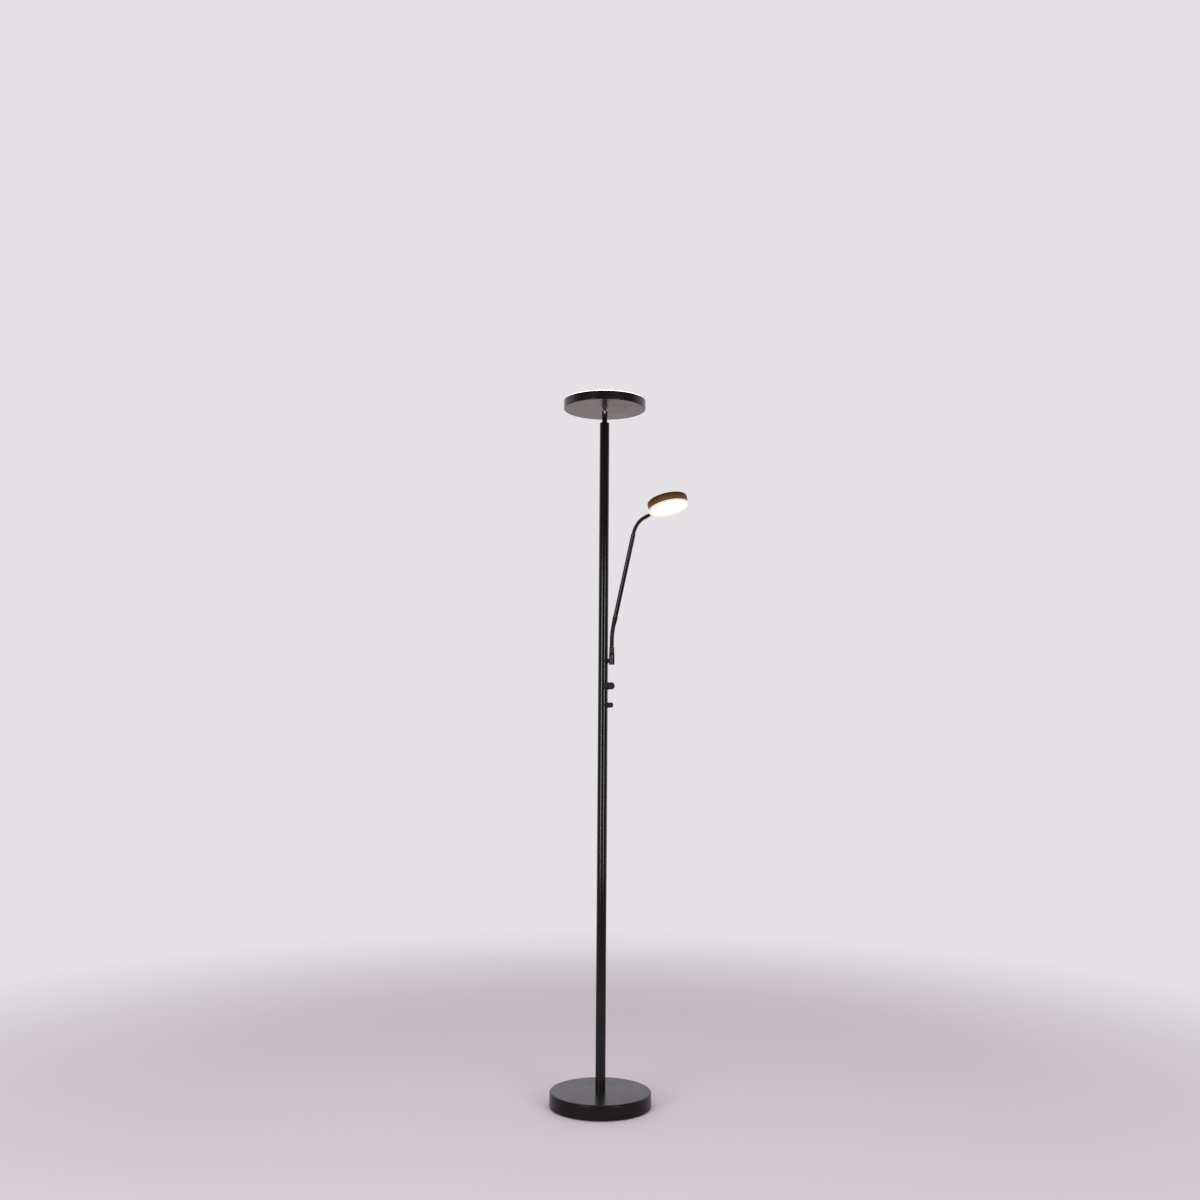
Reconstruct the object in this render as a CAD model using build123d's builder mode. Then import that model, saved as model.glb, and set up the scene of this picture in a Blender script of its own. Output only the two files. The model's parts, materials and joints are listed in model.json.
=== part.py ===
from build123d import *
from math import atan2, cos, degrees, radians, sin, sqrt
import os

os.makedirs("parts", exist_ok=True)

# Torchiere floor lamp with a dimmable uplight on top and a small reading light on a flexible arm.
# Millimetres, +Z up, origin on the floor at the centre of the base. The room side of the lamp is -Y.

# Whole lamp
OVERALL_HEIGHT = 1800.0
SHEET_FIT = 0.3          # gap left between formed sheets and what goes inside them
RUNNING_FIT = 0.05       # radial clearance of a turning pin or shaft
PLUG_FIT = 0.1           # radial clearance of plugs and couplers in the pole

# Base
BASE_DIAMETER = 254.0
BASE_HEIGHT = 38.0
COVER_SHEET = 1.5
COVER_EDGE_RADIUS = 4.0
COVER_LIFT = 2.5         # floor to the hem of the cover
PAD_THICKNESS = 2.0
PAD_INSET = 9.0          # cover's outside to the pad's edge
PLATE_THICKNESS = 1.5
WEIGHT_THICKNESS = 11.0
WEIGHT_GAP = 3.0         # weight to the inside of the cover's skirt
BOSS_DIAMETER = 60.0
NUT_POCKET_DIAMETER = 40.0
NUT_POCKET_DEPTH = 8.0
BASE_SCREW_CIRCLE = 180.0
BASE_SCREW_COUNT = 3
BASE_SCREW_DIAMETER = 4.0
BASE_SCREW_HEAD = 7.5
BASE_SCREW_LENGTH = 10.0
GLAND_HEIGHT = 26.0
GLAND_BODY = 12.0
GLAND_FLANGE = 15.0
GLAND_FLANGE_THICKNESS = 3.0
GLAND_TAPER = 1.0
CORD_BORE = 7.4          # takes a 7 mm mains lead
DRIVER_LENGTH = 92.0
DRIVER_WIDTH = 36.0
DRIVER_HEIGHT = 16.0
DRIVER_CORNER_RADIUS = 3.0
DRIVER_EDGE_RADIUS = 1.5
DRIVER_OFFSET = 72.0     # lamp axis to the middle of the driver
WIRE_CHANNEL_WIDTH = 8.0
WIRE_CHANNEL_DEPTH = 6.0
WIRE_CHANNEL_END = 62.0

# Pole
POLE_DIAMETER = 25.4
POLE_WALL = 1.2
LOWER_LENGTH = 567.0
SEAM_ABOVE_PIVOT = 69.0  # arm's pivot to the seam above it
POLE_END_CHAMFER = 0.4
JOINER_LENGTH = 44.0
JOINER_CHAMFER = 0.8
FOOT_LENGTH = 16.0
STUD_DIAMETER = 10.0
STUD_TAIL = 1.6          # stud past the clamping nut
NUT_ACROSS_FLATS = 17.0
NUT_THICKNESS = 5.0
NUT_FLANGE_DIAMETER = 28.0
NUT_FLANGE_THICKNESS = 1.2
WIRE_DIAMETER = 5.0
WIRE_FIT = 0.3
TOP_CAP_FLANGE = 6.0
TOP_CAP_SPIGOT = 16.0
TOP_CAP_RADIUS = 2.4
NECK_DIAMETER = 14.0
NECK_SHOWN = 26.2        # top of the pole to the tilt pivot
NECK_TAIL = 18.0         # neck inside the pole

# Tilt knuckle under the uplight
FORK_SLOT = 4.0
FORK_TOP = 5.0           # pivot to the top of the fork cheeks
FORK_FLOOR = 3.6         # pivot to the floor of the slot
EYE_RADIUS = 3.3
EYE_SIDE_FIT = 0.15
STEM_DEPTH = 6.2
STEM_COLLAR_DIAMETER = 7.7
STEM_COLLAR_FIT = 0.4    # fork's cheeks to the collar, as it swings round them
PIVOT_DROP = 9.8         # pan's underside to the tilt pivot
TILT_PIN_DIAMETER = 3.2
TILT_PIN_PROUD = 0.8
TONGUE_THREAD = 6.0
TONGUE_THREAD_LENGTH = 8.5
TONGUE_NUT_FLATS = 10.0
TONGUE_NUT_THICKNESS = 5.0
TONGUE_NUT_FLANGE = 18.0
TONGUE_NUT_FLANGE_THICKNESS = 1.2

# Uplight head
PAN_DIAMETER = 216.0
PAN_HEIGHT = 22.0
PAN_SHEET = 1.2
PAN_EDGE_RADIUS = 2.0
DIFFUSER_PROUD = 2.0     # diffuser above the rim of the pan
DIFFUSER_THICKNESS = 2.0
DIFFUSER_EDGE_RADIUS = 1.2
HEAT_PLATE_THICKNESS = 2.0
HEAT_PLATE_HEIGHT = 10.8  # pan's floor to the top of the heat plate
HEAT_PLATE_GAP = 1.0
BOARD_THICKNESS = 1.6
UPLIGHT_BOARD_INSET = 9.0
BOARD_SCREW_CIRCLE = 150.0
BOARD_SCREW_COUNT = 4
BOARD_SCREW_DIAMETER = 3.0
BOARD_SCREW_HEAD = 5.5
BOARD_SCREW_HEAD_HEIGHT = 1.6
LED_SIDE = 3.5
LED_HEIGHT = 0.8
UPLIGHT_LED_CIRCLES = (40.0, 100.0, 176.0)
UPLIGHT_LED_COUNTS = (8, 16, 28)

# Controls on the pole
ARM_AZIMUTH = -45.0      # direction in which the arm and the controls leave the pole, from +X
DIMMER_DROP = 65.0       # arm's pivot down to the axis of the dimmer
DIMMER_KNOB_DIAMETER = 19.4
DIMMER_KNOB_TIP = 18.2
DIMMER_KNOB_REACH = 35.0  # lamp axis to the knob's end
SWITCH_DROP = 114.0      # arm's pivot down to the axis of the switch
SWITCH_KNOB_DIAMETER = 14.0
SWITCH_KNOB_TIP = 13.2
SWITCH_KNOB_REACH = 33.0
KNOB_EDGE_RADIUS = 2.6
KNOB_SKIRT_DEPTH = 6.0   # hollow in the back of a knob
KNOB_WALL = 2.0
COLLAR_REACH = 17.0      # lamp axis to the face of a knob's collar
COLLAR_SEAT = 8.5        # how far in a collar's saddle starts, from the lamp axis
KNOB_GAP = 0.4
BUSH_DIAMETER = 7.0
BUSH_LENGTH = 9.0        # bush past the inside of the pole
SHAFT_DIAMETER = 4.0
SHAFT_LENGTH = 10.0      # shaft past the end of the bush
POT_WIDTH = 8.6
POT_INNER = 3.6          # lamp axis to the back of a potentiometer
POT_OUTER = 10.3         # lamp axis to its mounting face
POT_BACK_WALL = 1.0
COLLAR_CHAMFER = 1.0

# Reading arm
PIVOT_HEIGHT = 1111.0
SOCKET_REACH = 31.3      # lamp axis to the axis of the arm's socket
SOCKET_BOTTOM = 11.0     # pivot to the socket's lower end
SOCKET_TOP = 34.0        # pivot to the socket's mouth
SOCKET_FOOT_DIAMETER = 14.6
SOCKET_FOOT_TOP = 14.7    # pivot to the top of the foot
SOCKET_SLEEVE_BOTTOM = 21.0
SOCKET_MOUTH_DIAMETER = 13.0
SOCKET_FOOT_CHAMFER = 0.6
SOCKET_BORE = 3.0
SOCKET_FLOOR = 5.0        # pivot to the bottom of the socket's bore
SWIVEL_GAP = 0.2          # bracket to the socket
BRACKET_FLANGE_DIAMETER = 13.0
BRACKET_FLANGE_LENGTH = 4.5
BRACKET_FLANGE_SLOPE = 1.0
BRACKET_NECK_DIAMETER = 10.0
BRACKET_PIN_DIAMETER = 6.0
BRACKET_PIN_DEPTH = 2.0   # pin past the axis of the socket
SOCKET_WEB = 1.3          # wall between the pin and the head of its screw
BRACKET_TAIL_DIAMETER = 8.0
BRACKET_TAIL_INNER = 4.2  # lamp axis to the tail's end
BRACKET_NUT_DIAMETER = 12.0
BRACKET_NUT_OUTER = 9.4
PIVOT_SCREW_DIAMETER = 3.0
PIVOT_SCREW_HEAD = 5.4
PIVOT_SCREW_HEAD_HEIGHT = 2.0
PIVOT_SCREW_BITE = 2.4    # screw inside the bracket's pin
PIVOT_SCREW_KEY = 2.5     # hexagon socket, across flats
PIVOT_SCREW_KEY_DEPTH = 1.2
LOWER_NECK_DIAMETER = 10.9
UPPER_NECK_DIAMETER = 9.4
LINK_BALL_RADIUS = 3.3
LINK_GAP = 1.15           # each link's end to its joint
LINK_BORE = 2.6
LINK_CHAMFER = 0.4
LINK_COUNT = 5
LOWER_BEND = 16.7         # lean of the arm's tube from upright, in degrees
LOWER_STRAIGHT = 14.2     # lower gooseneck before its bend
LOWER_ARC = 43.0          # bent length of the lower gooseneck
TUBE_SLEEVE_LENGTH = 20.3  # cone below the tube, on its lower ferrule
TUBE_SLEEVE_DIAMETER = 13.5
TUBE_SLEEVE_END_DIAMETER = 11.4
TUBE_DIAMETER = 11.5
TUBE_WALL = 0.9
TUBE_LENGTH = 217.5
UPPER_BEND = 56.7         # further lean along the upper gooseneck, in degrees
UPPER_ARC = 53.6
TIP_LENGTH = 34.2         # end of the upper gooseneck to the rim of the reading head
TIP_SLEEVE_LENGTH = 12.0
TIP_SLEEVE_DIAMETER = 9.8
TIP_ROD_DIAMETER = 8.4
TIP_SPIGOT_DIAMETER = 7.0
TIP_SPIGOT_LENGTH = 7.0
TIP_NUT_DIAMETER = 9.6
TIP_NUT_THICKNESS = 3.0
FERRULE_LENGTH = 14.0     # plug inside each end of the arm's tube

# Reading head
READING_DIAMETER = 100.0
READING_BACK = 12.6       # arm's line to the back of the housing
READING_FRONT = 7.9       # arm's line to the front rim of the housing
READING_WALL = 2.4
READING_EDGE_RADIUS = 2.0
FIN_COUNT = 44
FIN_GROOVE_WIDTH = 3.4
FIN_GROOVE_DEPTH = 1.3
FIN_TOP_BAND = 4.0        # plain band left at the back edge
READING_BOARD_DIAMETER = 84.0
READING_REFLECTOR_BACK = 62.0
READING_REFLECTOR_MOUTH = 84.0
READING_REFLECTOR_WALL = 1.0
LENS_RING_DIAMETER = 103.0
LENS_RING_THICKNESS = 3.0
LENS_RING_MOUTH = 90.0    # wide end of the ring's cone, at its front
LENS_RING_OPENING = 84.0  # narrow end of the cone, at the lens
LENS_RING_SPIGOT = 3.0    # ring inside the housing
LENS_LEDGE_WIDTH = 3.0
LENS_LEDGE_THICKNESS = 1.0
LENS_EDGE_RADIUS = 1.0
LENS_THICKNESS = 1.6
READING_LED_CIRCLES = (20.0, 44.0)
READING_LED_COUNTS = (6, 12)

# Worked-out places
base_inner = BASE_DIAMETER / 2 - COVER_SHEET
cover_underside = BASE_HEIGHT - COVER_SHEET
plate_top = PAD_THICKNESS + PLATE_THICKNESS
weight_top = plate_top + WEIGHT_THICKNESS
weight_radius = base_inner - WEIGHT_GAP
pocket_top = plate_top + NUT_POCKET_DEPTH
nut_bottom = pocket_top - NUT_FLANGE_THICKNESS - NUT_THICKNESS
pole_bore = POLE_DIAMETER / 2 - POLE_WALL
plug_radius = pole_bore - PLUG_FIT
wire_way = WIRE_DIAMETER / 2 + WIRE_FIT
lower_seam = BASE_HEIGHT + LOWER_LENGTH
upper_seam = PIVOT_HEIGHT + SEAM_ABOVE_PIVOT
dimmer_height = PIVOT_HEIGHT - DIMMER_DROP
switch_height = PIVOT_HEIGHT - SWITCH_DROP
pan_top = OVERALL_HEIGHT - DIFFUSER_PROUD
pan_bottom = pan_top - PAN_HEIGHT
pan_floor = pan_bottom + PAN_SHEET
tilt_height = pan_bottom - PIVOT_DROP
pole_top = tilt_height - NECK_SHOWN
pan_inner = PAN_DIAMETER / 2 - PAN_SHEET
heat_plate_top = pan_floor + HEAT_PLATE_HEIGHT
heat_plate_radius = pan_inner - HEAT_PLATE_GAP
uplight_board_radius = heat_plate_radius - UPLIGHT_BOARD_INSET
board_top = heat_plate_top + BOARD_THICKNESS

# The arm lies in one upright plane through the lamp's axis
out = Vector(1, 0, 0).rotate(Axis.Z, ARM_AZIMUTH)
up = Vector(0, 0, 1)


def arm_point(reach, height):
    return out * reach + up * height


def along(lean):
    """Direction of an arm that leans outward by lean degrees from upright."""
    return out * sin(radians(lean)) + up * cos(radians(lean))


def across(lean):
    """Square to the arm, in its plane, on the side that faces out and down."""
    return out * cos(radians(lean)) - up * sin(radians(lean))


def arm_section(point, lean):
    """Sketch plane for turned arm pieces: x is the radius and y runs along the arm."""
    return Plane(point, x_dir=across(lean), z_dir=across(lean).cross(along(lean)))


def control_section(height):
    """Sketch plane for turned pieces that stand out of the pole: x is the radius, y the reach."""
    return Plane((0, 0, height), x_dir=up, z_dir=up.cross(out))


def control_plane(height, reach):
    """Plane square to the arm's direction, at that reach from the lamp's axis."""
    return Plane(out * reach + up * height, x_dir=up, z_dir=out)


def save(piece, label):
    piece.part.label = label
    export_step(piece.part, f"parts/{label}.step")


def neck_walk(point, lean, straight, bend, length):
    """Points at the ends of a gooseneck's equal links: straight at first, then round a bend."""
    stations = []
    radius = length / radians(bend)
    for index in range(LINK_COUNT + 1):
        run = (straight + length) * index / LINK_COUNT
        turned = lean + bend * max(run - straight, 0) / length
        step = out * (cos(radians(lean)) - cos(radians(turned)))
        step += up * (sin(radians(turned)) - sin(radians(lean)))
        stations.append(point + along(lean) * min(run, straight) + step * radius)
    return stations


socket_mouth = arm_point(SOCKET_REACH, PIVOT_HEIGHT + SOCKET_TOP)
lower_start = socket_mouth + up * LINK_GAP
lower_stations = neck_walk(lower_start, 0.0, LOWER_STRAIGHT, LOWER_BEND, LOWER_ARC)
sleeve_start = lower_stations[-1] + along(LOWER_BEND) * LINK_GAP
tube_start = sleeve_start + along(LOWER_BEND) * TUBE_SLEEVE_LENGTH
tube_end = tube_start + along(LOWER_BEND) * TUBE_LENGTH
upper_start = tube_end + along(LOWER_BEND) * LINK_GAP
head_lean = LOWER_BEND + UPPER_BEND
upper_stations = neck_walk(upper_start, LOWER_BEND, 0.0, UPPER_BEND, UPPER_ARC)
tip_start = upper_stations[-1] + along(head_lean) * LINK_GAP
rim_point = tip_start + along(head_lean) * TIP_LENGTH
head_centre = rim_point + along(head_lean) * (READING_DIAMETER / 2)

# Base

with BuildPart() as base_pad:
    with BuildSketch():
        Circle(BASE_DIAMETER / 2 - PAD_INSET)
    extrude(amount=PAD_THICKNESS)
save(base_pad, "base_pad")


def countersunk_screw(grow):
    """A countersunk screw with its head in the bottom plate; grown, it makes the screw's hole."""
    shank = BASE_SCREW_DIAMETER / 2 + grow
    head = BASE_SCREW_HEAD / 2 + grow
    tip = plate_top + BASE_SCREW_LENGTH + grow
    with BuildPart() as screw:
        with BuildSketch(Plane.XZ):
            with BuildLine():
                Polyline(
                    (0, PAD_THICKNESS),
                    (head, PAD_THICKNESS),
                    (shank, PAD_THICKNESS + head - shank),
                    (shank, tip),
                    (0, tip),
                    close=True,
                )
            make_face()
        revolve(axis=Axis.Z)
    return screw.part


screw_hole = countersunk_screw(RUNNING_FIT)

with BuildPart() as base_screws:
    with PolarLocations(BASE_SCREW_CIRCLE / 2, BASE_SCREW_COUNT):
        add(countersunk_screw(0))
save(base_screws, "base_screws")

with BuildPart() as base_plate:
    with BuildSketch(Plane.XY.offset(PAD_THICKNESS)):
        Circle(base_inner - SHEET_FIT)
    extrude(amount=PLATE_THICKNESS)
    with PolarLocations(BASE_SCREW_CIRCLE / 2, BASE_SCREW_COUNT):
        add(screw_hole, mode=Mode.SUBTRACT)
save(base_plate, "base_plate")

with BuildPart() as base_weight:
    with BuildSketch(Plane.XY.offset(plate_top)):
        Circle(weight_radius)
    extrude(amount=WEIGHT_THICKNESS)
    with BuildSketch(Plane.XY.offset(weight_top)):
        Circle(BOSS_DIAMETER / 2)
    extrude(amount=cover_underside - weight_top)
    with BuildSketch(Plane.XY.offset(plate_top)):
        Circle(NUT_POCKET_DIAMETER / 2)
    extrude(amount=NUT_POCKET_DEPTH, mode=Mode.SUBTRACT)
    with BuildSketch(Plane.XY.offset(plate_top)):
        Circle(STUD_DIAMETER / 2 + PLUG_FIT)
    extrude(amount=BASE_HEIGHT, mode=Mode.SUBTRACT)
    with PolarLocations(BASE_SCREW_CIRCLE / 2, BASE_SCREW_COUNT):
        add(screw_hole, mode=Mode.SUBTRACT)
    with BuildSketch(Plane.XY.offset(plate_top)):
        with Locations((0, WIRE_CHANNEL_END / 2)):
            Rectangle(WIRE_CHANNEL_WIDTH, WIRE_CHANNEL_END)
    extrude(amount=WIRE_CHANNEL_DEPTH, mode=Mode.SUBTRACT)
    with BuildSketch(Plane.XY.offset(plate_top)):
        with Locations((0, WIRE_CHANNEL_END)):
            Circle(WIRE_CHANNEL_WIDTH / 2)
    extrude(amount=WEIGHT_THICKNESS, mode=Mode.SUBTRACT)
save(base_weight, "base_weight")

with BuildPart() as base_cover:
    with BuildSketch(Plane.XY.offset(COVER_LIFT)):
        Circle(BASE_DIAMETER / 2)
    extrude(amount=BASE_HEIGHT - COVER_LIFT)
    fillet(base_cover.faces().sort_by(Axis.Z)[-1].edges(), COVER_EDGE_RADIUS)
    offset(amount=-COVER_SHEET, openings=base_cover.faces().sort_by(Axis.Z)[0])
    with BuildSketch(Plane.XY.offset(cover_underside)):
        Circle(STUD_DIAMETER / 2 + PLUG_FIT)
    extrude(amount=COVER_SHEET, mode=Mode.SUBTRACT)
    with BuildSketch(Plane.XZ.offset(-BASE_DIAMETER / 2)):
        with Locations((0, GLAND_HEIGHT)):
            Circle(GLAND_BODY / 2 + PLUG_FIT)
    extrude(amount=GLAND_FLANGE, mode=Mode.SUBTRACT)
save(base_cover, "base_cover")

# The grommet grips the skirt of the cover, whose curve its two flanges stay just clear of
skirt_sag = BASE_DIAMETER / 2 - sqrt((BASE_DIAMETER / 2) ** 2 - (GLAND_FLANGE / 2) ** 2)
gland_outer = BASE_DIAMETER / 2 + PLUG_FIT
gland_inner = base_inner - skirt_sag - PLUG_FIT
with BuildPart() as cord_gland:
    with BuildSketch(Plane.YZ):
        with BuildLine():
            Polyline(
                (gland_inner - GLAND_FLANGE_THICKNESS, GLAND_HEIGHT + CORD_BORE / 2),
                (gland_inner - GLAND_FLANGE_THICKNESS, GLAND_HEIGHT + GLAND_FLANGE / 2),
                (gland_inner, GLAND_HEIGHT + GLAND_FLANGE / 2),
                (gland_inner, GLAND_HEIGHT + GLAND_BODY / 2),
                (gland_outer, GLAND_HEIGHT + GLAND_BODY / 2),
                (gland_outer, GLAND_HEIGHT + GLAND_FLANGE / 2),
                (gland_outer + GLAND_FLANGE_THICKNESS, GLAND_HEIGHT + GLAND_FLANGE / 2 - GLAND_TAPER),
                (gland_outer + GLAND_FLANGE_THICKNESS, GLAND_HEIGHT + CORD_BORE / 2),
                close=True,
            )
        make_face()
    revolve(axis=Axis((0, 0, GLAND_HEIGHT), (0, 1, 0)))
save(cord_gland, "cord_gland")

with BuildPart() as led_driver:
    with BuildSketch(Plane.XY.offset(weight_top)):
        with Locations((0, -DRIVER_OFFSET)):
            RectangleRounded(DRIVER_LENGTH, DRIVER_WIDTH, DRIVER_CORNER_RADIUS)
    extrude(amount=DRIVER_HEIGHT)
    fillet(led_driver.faces().sort_by(Axis.Z)[-1].edges(), DRIVER_EDGE_RADIUS)
save(led_driver, "led_driver")

# Pole

with BuildPart() as pole_stud:
    with BuildSketch(Plane.XY.offset(nut_bottom - STUD_TAIL)):
        Circle(STUD_DIAMETER / 2)
        Circle(wire_way, mode=Mode.SUBTRACT)
    extrude(amount=BASE_HEIGHT + FOOT_LENGTH - nut_bottom + STUD_TAIL)
save(pole_stud, "pole_stud")

with BuildPart() as base_nut:
    with BuildSketch(Plane.XY.offset(nut_bottom)):
        RegularPolygon(NUT_ACROSS_FLATS / 2, 6, major_radius=False)
        Circle(STUD_DIAMETER / 2 + RUNNING_FIT, mode=Mode.SUBTRACT)
    extrude(amount=NUT_THICKNESS)
    with BuildSketch(Plane.XY.offset(nut_bottom + NUT_THICKNESS)):
        Circle(NUT_FLANGE_DIAMETER / 2)
        Circle(STUD_DIAMETER / 2 + RUNNING_FIT, mode=Mode.SUBTRACT)
    extrude(amount=NUT_FLANGE_THICKNESS)
save(base_nut, "base_nut")

with BuildPart() as pole_foot:
    with BuildSketch(Plane.XY.offset(BASE_HEIGHT)):
        Circle(plug_radius)
        Circle(STUD_DIAMETER / 2 + RUNNING_FIT, mode=Mode.SUBTRACT)
    extrude(amount=FOOT_LENGTH)
save(pole_foot, "pole_foot")

with BuildPart() as pole_lower:
    with BuildSketch(Plane.XY.offset(BASE_HEIGHT)):
        Circle(POLE_DIAMETER / 2)
        Circle(pole_bore, mode=Mode.SUBTRACT)
    extrude(amount=LOWER_LENGTH)
    chamfer(pole_lower.faces().sort_by(Axis.Z)[-1].outer_wire().edges(), POLE_END_CHAMFER)
save(pole_lower, "pole_lower")

with BuildPart() as pole_middle:
    with BuildSketch(Plane.XY.offset(lower_seam)):
        Circle(POLE_DIAMETER / 2)
        Circle(pole_bore, mode=Mode.SUBTRACT)
    extrude(amount=upper_seam - lower_seam)
    for end in (0, -1):
        chamfer(pole_middle.faces().sort_by(Axis.Z)[end].outer_wire().edges(), POLE_END_CHAMFER)
    for height, diameter in (
        (dimmer_height, BUSH_DIAMETER),
        (switch_height, BUSH_DIAMETER),
        (PIVOT_HEIGHT, BRACKET_TAIL_DIAMETER),
    ):
        with BuildSketch(control_plane(height, 0)):
            Circle(diameter / 2 + PLUG_FIT)
        extrude(amount=POLE_DIAMETER, mode=Mode.SUBTRACT)
save(pole_middle, "pole_middle")

with BuildPart() as pole_upper:
    with BuildSketch(Plane.XY.offset(upper_seam)):
        Circle(POLE_DIAMETER / 2)
        Circle(pole_bore, mode=Mode.SUBTRACT)
    extrude(amount=pole_top - TOP_CAP_FLANGE - upper_seam)
    chamfer(pole_upper.faces().sort_by(Axis.Z)[0].outer_wire().edges(), POLE_END_CHAMFER)
save(pole_upper, "pole_upper")

for label, seam in (("pole_joiner_lower", lower_seam), ("pole_joiner_upper", upper_seam)):
    with BuildPart() as pole_joiner:
        with BuildSketch(Plane.XY.offset(seam - JOINER_LENGTH / 2)):
            Circle(plug_radius)
            Circle(wire_way, mode=Mode.SUBTRACT)
        extrude(amount=JOINER_LENGTH)
        chamfer(pole_joiner.edges().filter_by(GeomType.CIRCLE).group_by(SortBy.RADIUS)[-1], JOINER_CHAMFER)
    save(pole_joiner, label)

with BuildPart() as pole_top_cap:
    with BuildSketch(Plane.XY.offset(pole_top - TOP_CAP_FLANGE)):
        Circle(POLE_DIAMETER / 2)
    extrude(amount=TOP_CAP_FLANGE)
    fillet(pole_top_cap.faces().sort_by(Axis.Z)[-1].edges(), TOP_CAP_RADIUS)
    with BuildSketch(Plane.XY.offset(pole_top - TOP_CAP_FLANGE)):
        Circle(plug_radius)
    extrude(amount=-TOP_CAP_SPIGOT)
    with BuildSketch(Plane.XY.offset(pole_top)):
        Circle(NECK_DIAMETER / 2 + RUNNING_FIT)
    extrude(amount=-TOP_CAP_FLANGE - TOP_CAP_SPIGOT, mode=Mode.SUBTRACT)
save(pole_top_cap, "pole_top_cap")

with BuildPart() as pole_wire:
    with BuildSketch(Plane.XY.offset(nut_bottom)):
        Circle(WIRE_DIAMETER / 2)
    extrude(amount=pole_top + NECK_SHOWN / 2 - nut_bottom)
save(pole_wire, "pole_wire")

# Tilt knuckle: a fork on the neck, a pin across it and a plated tongue under the uplight

with BuildPart() as neck_fork:
    with BuildSketch(Plane.XY.offset(pole_top - NECK_TAIL)):
        Circle(NECK_DIAMETER / 2)
        Circle(wire_way, mode=Mode.SUBTRACT)
    extrude(amount=NECK_TAIL + NECK_SHOWN - FORK_FLOOR)
    with BuildSketch(Plane.XY.offset(tilt_height - FORK_FLOOR)):
        Circle(NECK_DIAMETER / 2)
        Rectangle(FORK_SLOT, NECK_DIAMETER, mode=Mode.SUBTRACT)
    extrude(amount=FORK_FLOOR + FORK_TOP)
    with BuildSketch(Plane.YZ.offset(-NECK_DIAMETER / 2)):
        with Locations((0, tilt_height)):
            Circle(NECK_DIAMETER / 2)
        with Locations((0, tilt_height - NECK_TAIL - NECK_SHOWN)):
            Rectangle(NECK_DIAMETER, 2 * (NECK_TAIL + NECK_SHOWN))
    extrude(amount=NECK_DIAMETER, mode=Mode.INTERSECT)
    with BuildSketch(Plane.YZ.offset(-NECK_DIAMETER / 2)):
        with Locations((0, tilt_height)):
            Circle(TILT_PIN_DIAMETER / 2 + RUNNING_FIT / 2)
    extrude(amount=NECK_DIAMETER, mode=Mode.SUBTRACT)
save(neck_fork, "neck_fork")

pin_reach = NECK_DIAMETER / 2 + TILT_PIN_PROUD
with BuildPart() as tilt_pin:
    with BuildSketch(Plane.YZ.offset(-pin_reach)):
        with Locations((0, tilt_height)):
            Circle(TILT_PIN_DIAMETER / 2)
    extrude(amount=2 * pin_reach)
    fillet(tilt_pin.edges().filter_by(GeomType.CIRCLE), TILT_PIN_PROUD)
save(tilt_pin, "tilt_pin")

tongue_thickness = FORK_SLOT - 2 * EYE_SIDE_FIT
with BuildPart() as tilt_tongue:
    with BuildSketch(Plane.YZ.offset(-tongue_thickness / 2)):
        with Locations((0, tilt_height)):
            Circle(EYE_RADIUS)
        with Locations((0, tilt_height + PIVOT_DROP / 2)):
            Rectangle(STEM_DEPTH, PIVOT_DROP)
        with Locations((0, tilt_height)):
            Circle(TILT_PIN_DIAMETER / 2 + RUNNING_FIT, mode=Mode.SUBTRACT)
    extrude(amount=tongue_thickness)
    with BuildSketch(Plane.XY.offset(pan_bottom)):
        Circle(STEM_COLLAR_DIAMETER / 2)
    extrude(amount=NECK_DIAMETER / 2 + STEM_COLLAR_FIT - PIVOT_DROP)
    with BuildSketch(Plane.XY.offset(pan_bottom)):
        Circle(TONGUE_THREAD / 2)
    extrude(amount=TONGUE_THREAD_LENGTH)
save(tilt_tongue, "tilt_tongue")

# Uplight head

with BuildPart() as uplight_pan:
    with BuildSketch(Plane.XY.offset(pan_bottom)):
        Circle(PAN_DIAMETER / 2)
    extrude(amount=PAN_HEIGHT)
    fillet(uplight_pan.faces().sort_by(Axis.Z)[0].edges(), PAN_EDGE_RADIUS)
    offset(amount=-PAN_SHEET, openings=uplight_pan.faces().sort_by(Axis.Z)[-1])
    with BuildSketch(Plane.XY.offset(pan_bottom)):
        Circle(TONGUE_THREAD / 2 + PLUG_FIT)
    extrude(amount=PAN_SHEET, mode=Mode.SUBTRACT)
save(uplight_pan, "uplight_pan")

with BuildPart() as tongue_nut:
    with BuildSketch(Plane.XY.offset(pan_floor)):
        Circle(TONGUE_NUT_FLANGE / 2)
        Circle(TONGUE_THREAD / 2 + RUNNING_FIT, mode=Mode.SUBTRACT)
    extrude(amount=TONGUE_NUT_FLANGE_THICKNESS)
    with BuildSketch(Plane.XY.offset(pan_floor + TONGUE_NUT_FLANGE_THICKNESS)):
        RegularPolygon(TONGUE_NUT_FLATS / 2, 6, major_radius=False)
        Circle(TONGUE_THREAD / 2 + RUNNING_FIT, mode=Mode.SUBTRACT)
    extrude(amount=TONGUE_NUT_THICKNESS)
save(tongue_nut, "tongue_nut")

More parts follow.
